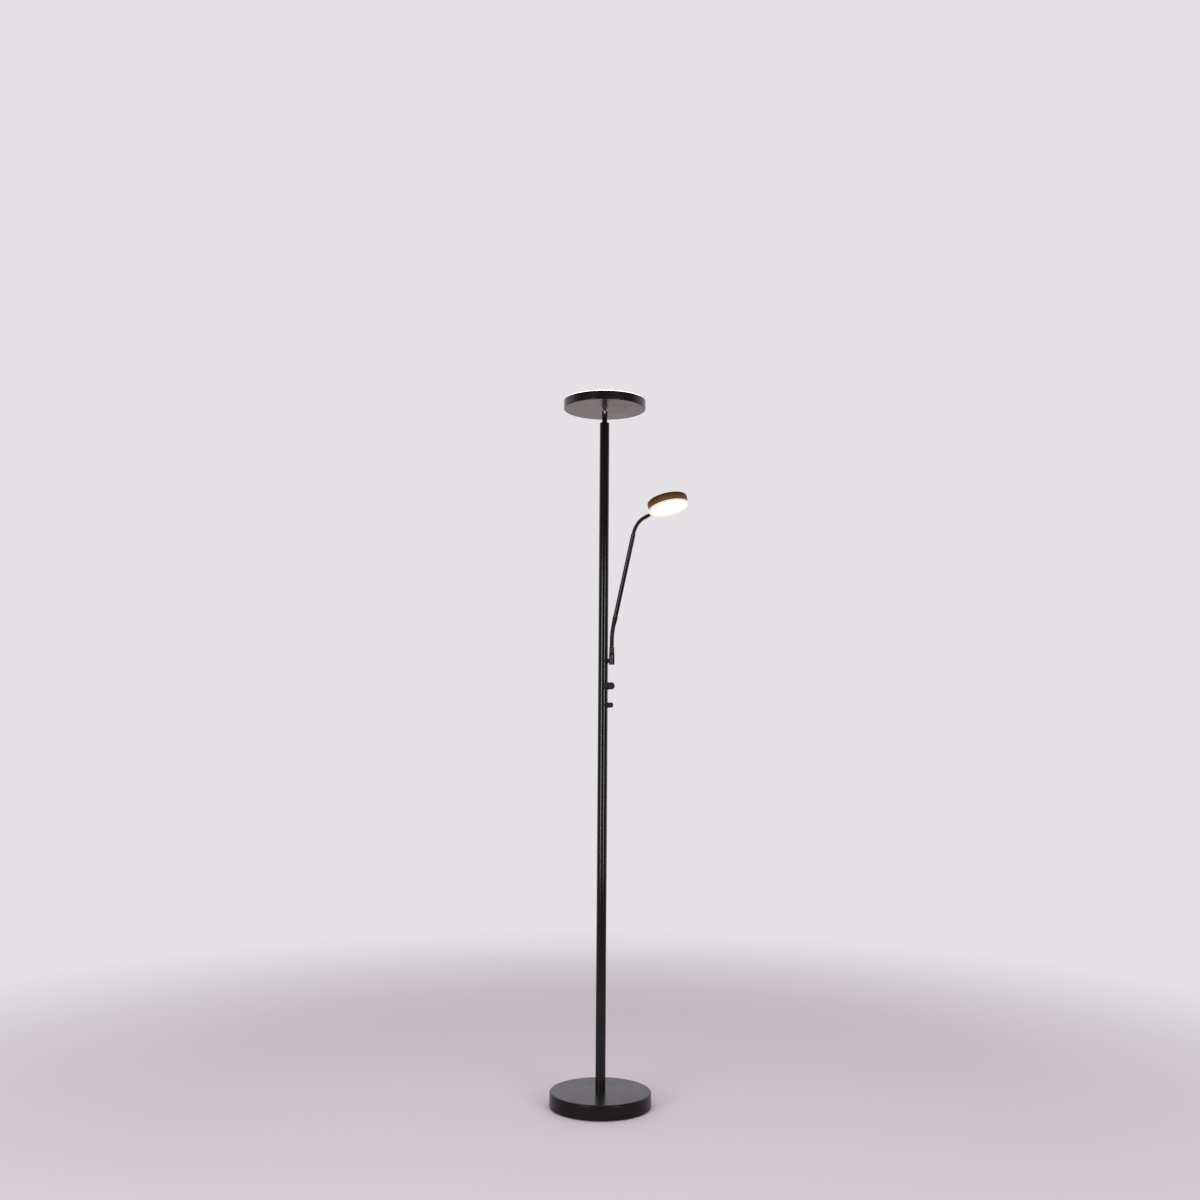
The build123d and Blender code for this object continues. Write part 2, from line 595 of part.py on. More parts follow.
with BuildPart() as uplight_heat_plate:
    with BuildSketch(Plane.XY.offset(pan_floor)):
        Circle(heat_plate_radius)
    extrude(amount=HEAT_PLATE_HEIGHT)
    with BuildSketch(Plane.XY.offset(pan_floor)):
        Circle(heat_plate_radius - HEAT_PLATE_THICKNESS)
    extrude(amount=HEAT_PLATE_HEIGHT - HEAT_PLATE_THICKNESS, mode=Mode.SUBTRACT)
    chamfer(uplight_heat_plate.faces().sort_by(Axis.Z)[0].outer_wire().edges(), PAN_EDGE_RADIUS / 2)
    with BuildSketch(Plane.XY.offset(pan_floor)):
        with PolarLocations(BOARD_SCREW_CIRCLE / 2, BOARD_SCREW_COUNT):
            Circle(BOARD_SCREW_DIAMETER / 2 + RUNNING_FIT)
    extrude(amount=HEAT_PLATE_HEIGHT, mode=Mode.SUBTRACT)
save(uplight_heat_plate, "uplight_heat_plate")

with BuildPart() as uplight_board:
    with BuildSketch(Plane.XY.offset(heat_plate_top)):
        Circle(uplight_board_radius)
        with PolarLocations(BOARD_SCREW_CIRCLE / 2, BOARD_SCREW_COUNT):
            Circle(BOARD_SCREW_DIAMETER / 2 + PLUG_FIT, mode=Mode.SUBTRACT)
    extrude(amount=BOARD_THICKNESS)
save(uplight_board, "uplight_board")

with BuildPart() as uplight_screws:
    with BuildSketch(Plane.XY.offset(board_top)):
        with PolarLocations(BOARD_SCREW_CIRCLE / 2, BOARD_SCREW_COUNT):
            Circle(BOARD_SCREW_HEAD / 2)
    extrude(amount=BOARD_SCREW_HEAD_HEIGHT)
    with BuildSketch(Plane.XY.offset(board_top)):
        with PolarLocations(BOARD_SCREW_CIRCLE / 2, BOARD_SCREW_COUNT):
            Circle(BOARD_SCREW_DIAMETER / 2)
    extrude(amount=-BOARD_THICKNESS - HEAT_PLATE_THICKNESS)
save(uplight_screws, "uplight_screws")

with BuildPart() as uplight_leds:
    with BuildSketch(Plane.XY.offset(board_top)):
        for circle, count in zip(UPLIGHT_LED_CIRCLES, UPLIGHT_LED_COUNTS):
            with PolarLocations(circle / 2, count):
                Rectangle(LED_SIDE, LED_SIDE)
    extrude(amount=LED_HEIGHT)
save(uplight_leds, "uplight_leds")

with BuildPart() as uplight_diffuser:
    with BuildSketch(Plane.XY.offset(heat_plate_top)):
        Circle(pan_inner - SHEET_FIT)
    extrude(amount=OVERALL_HEIGHT - heat_plate_top)
    fillet(uplight_diffuser.faces().sort_by(Axis.Z)[-1].edges(), DIFFUSER_EDGE_RADIUS)
    with BuildSketch(Plane.XY.offset(heat_plate_top)):
        Circle(pan_inner - SHEET_FIT - DIFFUSER_THICKNESS)
    extrude(amount=OVERALL_HEIGHT - heat_plate_top - DIFFUSER_THICKNESS, mode=Mode.SUBTRACT)
save(uplight_diffuser, "uplight_diffuser")

# Controls: each has a potentiometer inside the pole, a saddle collar outside and a turning knob

bush_end = pole_bore + BUSH_LENGTH
shaft_start = POT_INNER + POT_BACK_WALL + RUNNING_FIT
shaft_end = bush_end + SHAFT_LENGTH


def build_control(name, height, knob_diameter, knob_tip, knob_reach):
    section = control_section(height)
    axis = Axis((0, 0, height), out)
    knob_back = COLLAR_REACH + KNOB_GAP
    taper = (knob_diameter - knob_tip) / 2
    with BuildPart() as pot:
        with BuildSketch(control_plane(height, POT_INNER)):
            Rectangle(POT_WIDTH, POT_WIDTH)
        extrude(amount=POT_OUTER - POT_INNER)
        with BuildSketch(control_plane(height, POT_OUTER)):
            Circle(BUSH_DIAMETER / 2)
        extrude(amount=bush_end - POT_OUTER)
        with BuildSketch(control_plane(height, POT_INNER + POT_BACK_WALL)):
            Circle(SHAFT_DIAMETER / 2 + RUNNING_FIT)
        extrude(amount=bush_end, mode=Mode.SUBTRACT)
    save(pot, f"{name}_pot")
    with BuildPart() as collar:
        with BuildSketch(section):
            with BuildLine():
                Polyline(
                    (BUSH_DIAMETER / 2 + PLUG_FIT, COLLAR_SEAT),
                    (knob_diameter / 2 - taper, COLLAR_SEAT),
                    (knob_diameter / 2, COLLAR_REACH - COLLAR_CHAMFER),
                    (knob_diameter / 2 - COLLAR_CHAMFER, COLLAR_REACH),
                    (BUSH_DIAMETER / 2 + PLUG_FIT, COLLAR_REACH),
                    close=True,
                )
            make_face()
        revolve(axis=axis)
        with BuildSketch(Plane.XY.offset(height - knob_diameter)):
            Circle(POLE_DIAMETER / 2 + RUNNING_FIT)
        extrude(amount=2 * knob_diameter, mode=Mode.SUBTRACT)
    save(collar, f"{name}_collar")
    with BuildPart() as shaft:
        with BuildSketch(control_plane(height, shaft_start)):
            Circle(SHAFT_DIAMETER / 2)
        extrude(amount=shaft_end - shaft_start)
    save(shaft, f"{name}_shaft")
    with BuildPart() as knob:
        with BuildSketch(section):
            with BuildLine():
                Polyline(
                    (0, knob_back),
                    (knob_diameter / 2, knob_back),
                    (knob_tip / 2, knob_reach),
                    (0, knob_reach),
                    close=True,
                )
            make_face()
        revolve(axis=axis)
        fillet(knob.faces().sort_by(axis)[-1].edges(), KNOB_EDGE_RADIUS)
        with BuildSketch(control_plane(height, knob_back)):
            Circle(knob_diameter / 2 - KNOB_WALL)
        extrude(amount=KNOB_SKIRT_DEPTH, mode=Mode.SUBTRACT)
        with BuildSketch(control_plane(height, knob_back)):
            Circle(SHAFT_DIAMETER / 2 + RUNNING_FIT / 2)
        extrude(amount=shaft_end - knob_back, mode=Mode.SUBTRACT)
    save(knob, f"{name}_knob")


build_control("dimmer", dimmer_height, DIMMER_KNOB_DIAMETER, DIMMER_KNOB_TIP, DIMMER_KNOB_REACH)
build_control("switch", switch_height, SWITCH_KNOB_DIAMETER, SWITCH_KNOB_TIP, SWITCH_KNOB_REACH)

# Reading arm: bracket on the pole, swivelling socket, gooseneck, tube, gooseneck and tip

pole_radius = POLE_DIAMETER / 2
bracket_section = control_section(PIVOT_HEIGHT)
bracket_axis = Axis((0, 0, PIVOT_HEIGHT), out)
bracket_shoulder = SOCKET_REACH - SOCKET_FOOT_DIAMETER / 2 - SWIVEL_GAP
bracket_neck = pole_radius + BRACKET_FLANGE_LENGTH + BRACKET_FLANGE_SLOPE
pin_end = SOCKET_REACH + BRACKET_PIN_DEPTH
screw_seat = pin_end + RUNNING_FIT + SOCKET_WEB + RUNNING_FIT

with BuildPart() as arm_bracket:
    with BuildSketch(bracket_section):
        with BuildLine():
            Polyline(
                (0, COLLAR_SEAT),
                (BRACKET_FLANGE_DIAMETER / 2, COLLAR_SEAT),
                (BRACKET_FLANGE_DIAMETER / 2, pole_radius + BRACKET_FLANGE_LENGTH),
                (BRACKET_NECK_DIAMETER / 2, bracket_neck),
                (BRACKET_NECK_DIAMETER / 2, bracket_shoulder),
                (BRACKET_PIN_DIAMETER / 2, bracket_shoulder),
                (BRACKET_PIN_DIAMETER / 2, pin_end),
                (0, pin_end),
                close=True,
            )
        make_face()
    revolve(axis=bracket_axis)
    with BuildSketch(Plane.XY.offset(PIVOT_HEIGHT - BRACKET_FLANGE_DIAMETER)):
        Circle(pole_radius + RUNNING_FIT)
    extrude(amount=2 * BRACKET_FLANGE_DIAMETER, mode=Mode.SUBTRACT)
    with BuildSketch(control_plane(PIVOT_HEIGHT, BRACKET_TAIL_INNER)):
        Circle(BRACKET_TAIL_DIAMETER / 2)
    extrude(amount=pole_radius + BRACKET_FLANGE_LENGTH - BRACKET_TAIL_INNER)
    with BuildSketch(control_plane(PIVOT_HEIGHT, BRACKET_TAIL_INNER)):
        Circle(LINK_BORE / 2)
    extrude(amount=bracket_shoulder - BRACKET_TAIL_INNER, mode=Mode.SUBTRACT)
    with BuildSketch(control_plane(PIVOT_HEIGHT, pin_end)):
        Circle(PIVOT_SCREW_DIAMETER / 2 + RUNNING_FIT)
    extrude(amount=-PIVOT_SCREW_BITE, mode=Mode.SUBTRACT)
save(arm_bracket, "arm_bracket")

with BuildPart() as bracket_nut:
    with BuildSketch(control_plane(PIVOT_HEIGHT, BRACKET_TAIL_INNER)):
        Circle(BRACKET_NUT_DIAMETER / 2)
        Circle(BRACKET_TAIL_DIAMETER / 2 + RUNNING_FIT, mode=Mode.SUBTRACT)
    extrude(amount=BRACKET_NUT_OUTER - BRACKET_TAIL_INNER)
save(bracket_nut, "bracket_nut")

with BuildPart() as pivot_screw:
    with BuildSketch(control_plane(PIVOT_HEIGHT, pin_end - PIVOT_SCREW_BITE)):
        Circle(PIVOT_SCREW_DIAMETER / 2)
    extrude(amount=screw_seat - pin_end + PIVOT_SCREW_BITE)
    with BuildSketch(control_plane(PIVOT_HEIGHT, screw_seat)):
        Circle(PIVOT_SCREW_HEAD / 2)
    extrude(amount=PIVOT_SCREW_HEAD_HEIGHT)
    with BuildSketch(control_plane(PIVOT_HEIGHT, screw_seat + PIVOT_SCREW_HEAD_HEIGHT)):
        RegularPolygon(PIVOT_SCREW_KEY / 2, 6, major_radius=False)
    extrude(amount=-PIVOT_SCREW_KEY_DEPTH, mode=Mode.SUBTRACT)
save(pivot_screw, "pivot_screw")

ball_fit = LINK_BALL_RADIUS + RUNNING_FIT
with BuildPart() as arm_socket:
    with BuildSketch(arm_section(arm_point(SOCKET_REACH, PIVOT_HEIGHT), 0)):
        with BuildLine():
            Polyline(
                (0, -SOCKET_BOTTOM),
                (SOCKET_FOOT_DIAMETER / 2 - SOCKET_FOOT_CHAMFER, -SOCKET_BOTTOM),
                (SOCKET_FOOT_DIAMETER / 2, SOCKET_FOOT_CHAMFER - SOCKET_BOTTOM),
                (SOCKET_FOOT_DIAMETER / 2, SOCKET_FOOT_TOP),
                (SOCKET_MOUTH_DIAMETER / 2, SOCKET_SLEEVE_BOTTOM),
                (SOCKET_MOUTH_DIAMETER / 2, SOCKET_TOP - LINK_CHAMFER),
                (SOCKET_MOUTH_DIAMETER / 2 - LINK_CHAMFER, SOCKET_TOP),
                (0, SOCKET_TOP),
                close=True,
            )
        make_face()
    revolve(axis=Axis(arm_point(SOCKET_REACH, PIVOT_HEIGHT), up))
    with BuildSketch(Plane(socket_mouth)):
        Circle(SOCKET_BORE / 2)
    extrude(amount=SOCKET_FLOOR - SOCKET_TOP, mode=Mode.SUBTRACT)
    with Locations(lower_start):
        Sphere(ball_fit, mode=Mode.SUBTRACT)
    with BuildSketch(control_plane(PIVOT_HEIGHT, pin_end + RUNNING_FIT)):
        Circle(BRACKET_PIN_DIAMETER / 2 + RUNNING_FIT)
    extrude(amount=-SOCKET_FOOT_DIAMETER, mode=Mode.SUBTRACT)
    with BuildSketch(control_plane(PIVOT_HEIGHT, pin_end)):
        Circle(PIVOT_SCREW_DIAMETER / 2 + PLUG_FIT)
    extrude(amount=SOCKET_FOOT_DIAMETER, mode=Mode.SUBTRACT)
    with BuildSketch(control_plane(PIVOT_HEIGHT, screw_seat - RUNNING_FIT)):
        Circle(PIVOT_SCREW_HEAD / 2 + PLUG_FIT)
    extrude(amount=SOCKET_FOOT_DIAMETER, mode=Mode.SUBTRACT)
save(arm_socket, "arm_socket")


def build_link(label, diameter, point, next_point):
    """One link of a gooseneck: a barrel with a ball at its start and a cup at its end."""
    way = next_point - point
    lean = degrees(atan2(way.dot(out), way.dot(up)))
    length = way.length
    radius = diameter / 2
    with BuildPart() as link:
        with BuildSketch(arm_section(point, lean)):
            with BuildLine():
                Polyline(
                    (0, LINK_GAP),
                    (radius - LINK_CHAMFER, LINK_GAP),
                    (radius, LINK_GAP + LINK_CHAMFER),
                    (radius, length - LINK_GAP - LINK_CHAMFER),
                    (radius - LINK_CHAMFER, length - LINK_GAP),
                    (0, length - LINK_GAP),
                    close=True,
                )
            make_face()
        revolve(axis=Axis(point, along(lean)))
        with Locations(point):
            Sphere(LINK_BALL_RADIUS)
        with Locations(next_point):
            Sphere(ball_fit, mode=Mode.SUBTRACT)
        with BuildSketch(Plane(point, x_dir=across(lean), z_dir=along(lean))):
            Circle(LINK_BORE / 2)
        extrude(amount=length, both=True, mode=Mode.SUBTRACT)
    save(link, label)


for index in range(LINK_COUNT):
    link_ends = lower_stations[index:index + 2]
    build_link(f"lower_link_{index + 1}", LOWER_NECK_DIAMETER, *link_ends)
    link_ends = upper_stations[index:index + 2]
    build_link(f"upper_link_{index + 1}", UPPER_NECK_DIAMETER, *link_ends)

tube_plane = Plane(tube_start, x_dir=across(LOWER_BEND), z_dir=along(LOWER_BEND))
tube_bore = TUBE_DIAMETER / 2 - TUBE_WALL
with BuildPart() as arm_tube:
    with BuildSketch(tube_plane):
        Circle(TUBE_DIAMETER / 2)
        Circle(tube_bore, mode=Mode.SUBTRACT)
    extrude(amount=TUBE_LENGTH)
save(arm_tube, "arm_tube")

plug_end = TUBE_SLEEVE_LENGTH + FERRULE_LENGTH
with BuildPart() as tube_ferrule_lower:
    with BuildSketch(arm_section(sleeve_start, LOWER_BEND)):
        with BuildLine():
            Polyline(
                (0, 0),
                (TUBE_SLEEVE_END_DIAMETER / 2 - LINK_CHAMFER, 0),
                (TUBE_SLEEVE_END_DIAMETER / 2, LINK_CHAMFER),
                (TUBE_SLEEVE_DIAMETER / 2, TUBE_SLEEVE_LENGTH - LINK_CHAMFER),
                (TUBE_SLEEVE_DIAMETER / 2 - LINK_CHAMFER, TUBE_SLEEVE_LENGTH),
                (tube_bore - RUNNING_FIT, TUBE_SLEEVE_LENGTH),
                (tube_bore - RUNNING_FIT, plug_end),
                (0, plug_end),
                close=True,
            )
        make_face()
    revolve(axis=Axis(sleeve_start, along(LOWER_BEND)))
    with Locations(lower_stations[-1]):
        Sphere(LINK_BALL_RADIUS)
    with BuildSketch(tube_plane):
        Circle(LINK_BORE / 2)
    extrude(amount=plug_end + LINK_BALL_RADIUS, both=True, mode=Mode.SUBTRACT)
save(tube_ferrule_lower, "tube_ferrule_lower")

with BuildPart() as tube_ferrule_upper:
    with BuildSketch(tube_plane.offset(TUBE_LENGTH - FERRULE_LENGTH)):
        Circle(tube_bore - RUNNING_FIT)
    extrude(amount=FERRULE_LENGTH)
    with Locations(upper_start):
        Sphere(ball_fit, mode=Mode.SUBTRACT)
    with BuildSketch(tube_plane.offset(TUBE_LENGTH - FERRULE_LENGTH)):
        Circle(LINK_BORE / 2)
    extrude(amount=FERRULE_LENGTH, mode=Mode.SUBTRACT)
save(tube_ferrule_upper, "tube_ferrule_upper")

tip_step = (TIP_SLEEVE_DIAMETER - TIP_ROD_DIAMETER) / 2
with BuildPart() as arm_tip:
    with BuildSketch(arm_section(tip_start, head_lean)):
        with BuildLine():
            Polyline(
                (0, 0),
                (TIP_SLEEVE_DIAMETER / 2 - LINK_CHAMFER, 0),
                (TIP_SLEEVE_DIAMETER / 2, LINK_CHAMFER),
                (TIP_SLEEVE_DIAMETER / 2, TIP_SLEEVE_LENGTH),
                (TIP_ROD_DIAMETER / 2, TIP_SLEEVE_LENGTH + tip_step),
                (TIP_ROD_DIAMETER / 2, TIP_LENGTH),
                (TIP_SPIGOT_DIAMETER / 2, TIP_LENGTH),
                (TIP_SPIGOT_DIAMETER / 2, TIP_LENGTH + TIP_SPIGOT_LENGTH),
                (0, TIP_LENGTH + TIP_SPIGOT_LENGTH),
                close=True,
            )
        make_face()
    revolve(axis=Axis(tip_start, along(head_lean)))
    with Locations(upper_stations[-1]):
        Sphere(LINK_BALL_RADIUS)
    with BuildSketch(Plane(tip_start, x_dir=across(head_lean), z_dir=along(head_lean))):
        Circle(LINK_BORE / 2)
    extrude(amount=TIP_LENGTH + TIP_SPIGOT_LENGTH, both=True, mode=Mode.SUBTRACT)
save(arm_tip, "arm_tip")

# Reading head: a finned cup on the tip, closed in front by a lens ring and an opal diffuser

head_plane = Plane(head_centre, x_dir=along(head_lean), z_dir=across(head_lean))
head_axis = Axis(head_centre, across(head_lean))
head_section = Plane(head_centre, x_dir=along(head_lean), z_dir=along(head_lean).cross(across(head_lean)))
rim_plane = Plane(rim_point, x_dir=across(head_lean), z_dir=along(head_lean))
housing_radius = READING_DIAMETER / 2
housing_bore = housing_radius - READING_WALL
back_inside = READING_WALL - READING_BACK
reading_board_top = back_inside + BOARD_THICKNESS
fin_height = READING_BACK + READING_FRONT - FIN_TOP_BAND

with BuildPart() as reading_housing:
    with BuildSketch(head_plane.offset(-READING_BACK)):
        Circle(housing_radius)
    extrude(amount=READING_BACK + READING_FRONT)
    fillet(reading_housing.faces().sort_by(head_axis)[0].edges(), READING_EDGE_RADIUS)
    with BuildSketch(head_plane.offset(back_inside)):
        Circle(housing_bore)
    extrude(amount=READING_FRONT - back_inside, mode=Mode.SUBTRACT)
    with BuildSketch(head_plane.offset(READING_FRONT)):
        with PolarLocations(housing_radius, FIN_COUNT, start_angle=180 / FIN_COUNT):
            Rectangle(2 * FIN_GROOVE_DEPTH, FIN_GROOVE_WIDTH)
    extrude(amount=-fin_height, mode=Mode.SUBTRACT)
    with BuildSketch(rim_plane):
        Circle(TIP_SPIGOT_DIAMETER / 2 + PLUG_FIT)
    extrude(amount=READING_WALL * 2, mode=Mode.SUBTRACT)
save(reading_housing, "reading_housing")

tip_nut_sag = housing_bore - sqrt(housing_bore ** 2 - (TIP_NUT_DIAMETER / 2) ** 2)
with BuildPart() as tip_nut:
    with BuildSketch(rim_plane.offset(READING_WALL + tip_nut_sag + RUNNING_FIT)):
        Circle(TIP_NUT_DIAMETER / 2)
        Circle(TIP_SPIGOT_DIAMETER / 2 + RUNNING_FIT, mode=Mode.SUBTRACT)
    extrude(amount=TIP_NUT_THICKNESS)
save(tip_nut, "tip_nut")

with BuildPart() as reading_board:
    with BuildSketch(head_plane.offset(back_inside)):
        Circle(READING_BOARD_DIAMETER / 2)
    extrude(amount=BOARD_THICKNESS)
save(reading_board, "reading_board")

with BuildPart() as reading_leds:
    with BuildSketch(head_plane.offset(reading_board_top)):
        for circle, count in zip(READING_LED_CIRCLES, READING_LED_COUNTS):
            with PolarLocations(circle / 2, count):
                Rectangle(LED_SIDE, LED_SIDE)
    extrude(amount=LED_HEIGHT)
save(reading_leds, "reading_leds")

ring_back = READING_FRONT - LENS_RING_SPIGOT
ledge_radius = LENS_RING_OPENING / 2 - LENS_LEDGE_WIDTH
lens_seat = ring_back + LENS_LEDGE_THICKNESS
lens_front = lens_seat + LENS_THICKNESS
with BuildPart() as reading_reflector:
    with BuildSketch(head_section):
        with BuildLine():
            Polyline(
                (READING_REFLECTOR_BACK / 2, reading_board_top),
                (READING_REFLECTOR_BACK / 2 + READING_REFLECTOR_WALL, reading_board_top),
                (READING_REFLECTOR_MOUTH / 2 + READING_REFLECTOR_WALL, ring_back),
                (READING_REFLECTOR_MOUTH / 2, ring_back),
                close=True,
            )
        make_face()
    revolve(axis=head_axis)
save(reading_reflector, "reading_reflector")

with BuildPart() as lens_ring:
    with BuildSketch(head_section):
        with BuildLine():
            Polyline(
                (ledge_radius, ring_back),
                (housing_bore - PLUG_FIT, ring_back),
                (housing_bore - PLUG_FIT, READING_FRONT),
                (LENS_RING_DIAMETER / 2, READING_FRONT),
                (LENS_RING_DIAMETER / 2, READING_FRONT + LENS_RING_THICKNESS),
                (LENS_RING_MOUTH / 2, READING_FRONT + LENS_RING_THICKNESS),
                (LENS_RING_OPENING / 2, lens_front),
                (LENS_RING_OPENING / 2, lens_seat),
                (ledge_radius, lens_seat),
                close=True,
            )
        make_face()
    revolve(axis=head_axis)
    front_edges = lens_ring.faces().sort_by(head_axis)[-1].outer_wire().edges()
    fillet(front_edges, LENS_EDGE_RADIUS)
save(lens_ring, "lens_ring")

with BuildPart() as reading_lens:
    with BuildSketch(head_plane.offset(lens_seat)):
        Circle(LENS_RING_OPENING / 2 - PLUG_FIT)
    extrude(amount=LENS_THICKNESS)
save(reading_lens, "reading_lens")
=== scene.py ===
import json
from math import pi, radians

import bmesh
import bpy
from mathutils import Matrix, Vector
from mathutils.geometry import interpolate_bezier


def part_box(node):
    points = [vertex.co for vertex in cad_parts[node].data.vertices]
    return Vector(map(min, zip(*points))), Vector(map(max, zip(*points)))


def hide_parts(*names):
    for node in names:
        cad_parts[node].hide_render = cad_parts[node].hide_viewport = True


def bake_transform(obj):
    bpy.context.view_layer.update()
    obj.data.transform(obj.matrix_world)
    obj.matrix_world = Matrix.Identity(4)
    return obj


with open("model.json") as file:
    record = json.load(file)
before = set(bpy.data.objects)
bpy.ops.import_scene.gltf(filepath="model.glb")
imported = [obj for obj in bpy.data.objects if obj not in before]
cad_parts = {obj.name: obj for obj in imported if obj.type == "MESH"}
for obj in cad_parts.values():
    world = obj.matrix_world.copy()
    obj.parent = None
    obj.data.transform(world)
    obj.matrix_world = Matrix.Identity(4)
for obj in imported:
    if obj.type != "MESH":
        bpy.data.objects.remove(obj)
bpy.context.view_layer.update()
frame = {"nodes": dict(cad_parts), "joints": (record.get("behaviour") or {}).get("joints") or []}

# The viewpoint
# A normal lens about three metres away at waist height, looking a little up, and turned a
# fraction of a degree, as the photograph was taken.

CAMERA_PLACE = (-0.0091, -3.2187, 0.9245)
CAMERA_PITCH_UP = radians(6.12)
CAMERA_ROLL = radians(0.389)
LENS_PIXELS = 1244.4  # focal length, in pixels of a square picture
IMAGE_PIXELS = 1200
SENSOR_WIDTH = 36.0

scene = bpy.context.scene
camera_data = bpy.data.cameras.new("viewpoint")
camera_data.sensor_width = SENSOR_WIDTH
camera_data.lens = SENSOR_WIDTH * LENS_PIXELS / IMAGE_PIXELS
camera = bpy.data.objects.new("viewpoint", camera_data)
scene.collection.objects.link(camera)
camera.matrix_world = (
    Matrix.Translation(CAMERA_PLACE)
    @ Matrix.Rotation(pi / 2 + CAMERA_PITCH_UP, 4, "X")
    @ Matrix.Rotation(CAMERA_ROLL, 4, "Z")
)
scene.camera = camera

# The studio
# A pale matt floor that fades into a pale surround, two tall soft boxes beside the camera and a
# broad soft box overhead. The surround is darker on the camera's side, as in a room.

SURROUND_COLOUR = (0.775, 0.755, 0.785, 1)
SURROUND_FILL = 0.66
CAMERA_SIDE_COLOUR = (0.05, 0.047, 0.05, 1)
CAMERA_SIDE_ENDS = -0.25  # how far a direction points away from the camera, from -1 to 1
FAR_SIDE_STARTS = 0.3
FAR_WALL_COLOUR = (1.1, 1.055, 1.14, 1)
FAR_FLOOR_COLOUR = (1.12, 0.97, 0.98, 1)
FAR_WALL_ENDS = 0.02  # how far a direction points up, from -1 to 1
FAR_FLOOR_STARTS = -0.1
FLOOR_COLOUR = (0.63, 0.565, 0.61, 1)
FLOOR_ROUGHNESS = 0.7
FLOOR_SPECULAR = 0.2
FLOOR_RADIUS = 3.2
FLOOR_SIDES = 96
FLOOR_FADE_START = 0.9
FLOOR_FADE_END = 2.9
SIDE_BOX_HEIGHT = 1.7
SIDE_BOX_AIM = (0, 0, 1.0)
SIDE_BOX_COLOUR = (1, 0.985, 1)
LEFT_BOX_PLACE = (-2.15, -3.1, 1.0)
LEFT_BOX_WIDTH = 1.2
LEFT_BOX_POWER = 74
RIGHT_BOX_PLACE = (2.1, -3.15, 1.0)
RIGHT_BOX_WIDTH = 0.8
RIGHT_BOX_POWER = 58
OVERHEAD_BOX_PLACE = (0, -0.6, 3.4)
OVERHEAD_BOX_AIM = (0, 0, 0)
OVERHEAD_BOX_SIDE = 2.6
OVERHEAD_BOX_POWER = 39
OVERHEAD_BOX_COLOUR = (1, 0.99, 0.98)


def new_material(name):
    """A material with its node tree and its Principled shader."""
    material = bpy.data.materials.new(name)
    material.use_nodes = True
    return material, material.node_tree, material.node_tree.nodes["Principled BSDF"]


def add_node(tree, kind, **settings):
    node = tree.nodes.new(kind)
    for key, value in settings.items():
        setattr(node, key, value)
    return node


def feed(tree, socket, value):
    """Gives an input a plain value, or links it to what another node gives."""
    if isinstance(value, bpy.types.NodeSocket):
        tree.links.new(value, socket)
    else:
        socket.default_value = value


def calculate(tree, operation, *values):
    """One step of arithmetic on numbers or on what other nodes give."""
    step = add_node(tree, "ShaderNodeMath", operation=operation)
    for socket, value in zip(step.inputs, values):
        feed(tree, socket, value)
    return step.outputs["Value"]


def smooth_step(tree, source, low, high):
    """A share that rises smoothly from 0 to 1 between two values of the source."""
    step = add_node(tree, "ShaderNodeMapRange", interpolation_type="SMOOTHSTEP")
    step.inputs["From Min"].default_value = low
    step.inputs["From Max"].default_value = high
    tree.links.new(source, step.inputs["Value"])
    return step.outputs["Result"]


def mix_colours(tree, share, colour_a, colour_b, blend="MIX"):
    """Goes from the first colour to the second with the share."""
    mix = add_node(tree, "ShaderNodeMix", data_type="RGBA", blend_type=blend)
    tree.links.new(share, mix.inputs["Factor"])
    feed(tree, mix.inputs["A"], colour_a)
    feed(tree, mix.inputs["B"], colour_b)
    return mix.outputs["Result"]


scene.view_settings.view_transform = "Standard"
world = bpy.data.worlds.new("studio_surround")
world.use_nodes = True
scene.world = world
sky = world.node_tree
direction = add_node(sky, "ShaderNodeTexCoord")
heading = add_node(sky, "ShaderNodeSeparateXYZ")
sky.links.new(direction.outputs["Generated"], heading.inputs["Vector"])
far_side = mix_colours(
    sky,
    smooth_step(sky, heading.outputs["Z"], FAR_WALL_ENDS, FAR_FLOOR_STARTS),
    FAR_WALL_COLOUR,
    FAR_FLOOR_COLOUR,
)
room = mix_colours(
    sky,
    smooth_step(sky, heading.outputs["Y"], CAMERA_SIDE_ENDS, FAR_SIDE_STARTS),
    CAMERA_SIDE_COLOUR,
    far_side,
)
rays = add_node(sky, "ShaderNodeLightPath")
backdrop = sky.nodes["Background"]
sky.links.new(
    mix_colours(sky, rays.outputs["Is Camera Ray"], room, SURROUND_COLOUR),
    backdrop.inputs["Color"],
)
fill = add_node(sky, "ShaderNodeBackground")
fill.inputs["Color"].default_value = SURROUND_COLOUR
fill.inputs["Strength"].default_value = SURROUND_FILL
shown = rays.outputs["Is Camera Ray"]
for ray in ("Is Glossy Ray", "Is Transmission Ray"):
    shown = calculate(sky, "MAXIMUM", shown, rays.outputs[ray])
pick = add_node(sky, "ShaderNodeMixShader")
sky.links.new(shown, pick.inputs["Fac"])
sky.links.new(fill.outputs["Background"], pick.inputs[1])
sky.links.new(backdrop.outputs["Background"], pick.inputs[2])
sky.links.new(pick.outputs["Shader"], sky.nodes["World Output"].inputs["Surface"])

